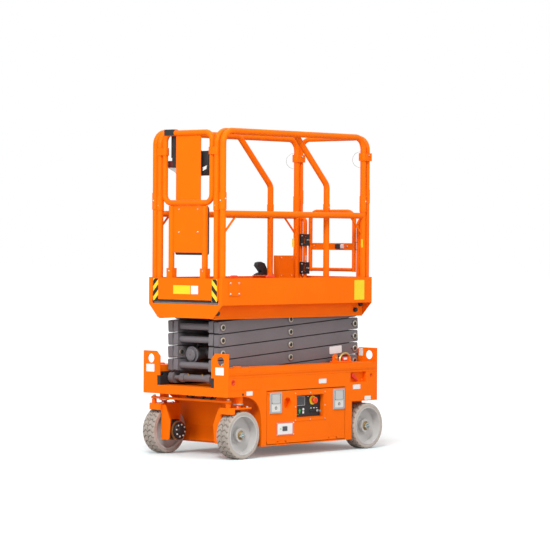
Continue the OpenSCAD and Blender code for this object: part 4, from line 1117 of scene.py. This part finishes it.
for y in (-36, 0, 36):
    face.box((631.5, y - 9, 1856), (636.5, y + 9, 1874), 2.0)
face.done("control_face", "extension", nylon)
dots = Form()
for y in (-48, 88):
    for z in (1846, 1906):
        dots.screw((635.6, y, z), AFT, 3.6)
dots.done("control_screws", "extension", zinc)
light = Form()
for y in (-36, 0, 36, 66):
    light.knob((635.7, y, 1892), AFT, 4.0, 2.0, 0.7, 18)
light.done("control_lamps", "extension", green)


# Document case

sheet = Form()
sheet.prism(frame_of(0, 1446.5, 238, 309, 12), on_front(664.6), 65.9, 6.0)
sheet.box((660.5, -108, 1532), (669, 108, 1540), 2.0)
sheet.done("document_case", "extension", black)
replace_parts(bpy.data.objects["document_case"], "document_box")
snap = Form()
snap.box((659, -20, 1520), (666, 20, 1552), 2.5)
snap.done("document_catch", "extension", nylon)


# Deck skin

skin = Form()
skin.prism(frame_of(155, 0, 1102, 442, 12), on_top(1011.0), 1.2, 0.4)
skin.done("deck_skin", "extension", plate_deck)
rivets = Form()
for s in SIDES:
    for i in range(8):
        rivets.screw((-380 + 153 * i, s * 211, 1012.0), UP, 5.0)
rivets.done("deck_screws", "extension", zinc)


# Light, floor and backdrop

def area(name, place, target, size, power):
    data = bpy.data.lights.new(name, "AREA")
    data.shape = "RECTANGLE"
    data.size, data.size_y = size
    data.energy = power
    lamp = bpy.data.objects.new(name, data)
    lamp.location = place
    lamp.rotation_euler = (Vector(target) - Vector(place)).to_track_quat("-Z", "Y").to_euler()
    scene.collection.objects.link(lamp)


def make_stage():
    world = bpy.data.worlds.new("studio")
    scene.world = world
    world.use_nodes = True
    tree = world.node_tree
    back = tree.nodes["Background"]
    back.inputs["Color"].default_value = (1, 1, 1, 1)
    back.inputs["Strength"].default_value = 0.50
    seen = node_of(tree, "ShaderNodeBackground", Color=(1, 1, 1, 1))
    path = tree.nodes.new("ShaderNodeLightPath").outputs
    plain = math_of(tree, "MAXIMUM", path["Is Camera Ray"], path["Is Glossy Ray"])
    plain = math_of(tree, "MAXIMUM", plain, path["Is Transmission Ray"])
    sky = mix_shaders(tree, plain, back.outputs[0], seen.outputs[0])
    feed(tree, tree.nodes["World Output"].inputs["Surface"], sky)

    mat = bpy.data.materials.new("studio_floor")
    mat.use_nodes = True
    tree = mat.node_tree
    tree.nodes.remove(tree.nodes["Principled BSDF"])
    place = tree.nodes.new("ShaderNodeTexCoord")
    away = math_of(tree, "LENGTH", place.outputs["Object"], kind="ShaderNodeVectorMath")
    fade = node_of(tree, "ShaderNodeMapRange", Value=away, From_Min=1.1, From_Max=2.6, To_Min=0.11)
    # painted light: the floor near the machine is tinted cyan to cancel the orange light that bounces onto
    # it, fading to plain white further out
    bounce_cancel_fade = node_of(tree, "ShaderNodeMapRange", Value=away, From_Min=0.55, From_Max=1.05)
    bounce_cancel_colour = blend(tree, bounce_cancel_fade.outputs["Result"], (0.77, 0.95, 0.98, 1), (0.94, 0.95, 0.95, 1))
    pale = node_of(tree, "ShaderNodeBsdfDiffuse", Color=bounce_cancel_colour)
    dull = node_of(tree, "ShaderNodeBsdfDiffuse", Color=(0.60, 0.60, 0.60, 1))
    glow = node_of(tree, "ShaderNodeEmission", Color=(1, 1, 1, 1), Strength=1.15)
    lit = mix_shaders(tree, fade.outputs["Result"], pale.outputs[0], glow.outputs[0])
    path = tree.nodes.new("ShaderNodeLightPath").outputs
    ground = mix_shaders(tree, path["Is Camera Ray"], dull.outputs[0], lit)
    feed(tree, tree.nodes["Material Output"].inputs["Surface"], ground)
    mesh = bpy.data.meshes.new("floor")
    mesh.from_pydata([(-60, -60, 0), (60, -60, 0), (60, 60, 0), (-60, 60, 0)], [], [(0, 1, 2, 3)])
    mesh.materials.append(mat)
    floor = bpy.data.objects.new("floor", mesh)
    scene.collection.objects.link(floor)

    area("key", (5.4, 3.5, 6.2), (0, 0, 0.9), (2.4, 2.4), 475)
    area("side", (0.6, 7.0, 3.0), (0, 0, 0.9), (3.5, 3.5), 105)
    area("front", (7.0, -0.2, 1.7), (0, 0, 0.6), (3.0, 3.0), 92)
    area("top", (-0.6, -0.4, 6.5), (0, 0, 1.0), (5.0, 5.0), 150)


make_stage()
scene.view_settings.view_transform = "Standard"
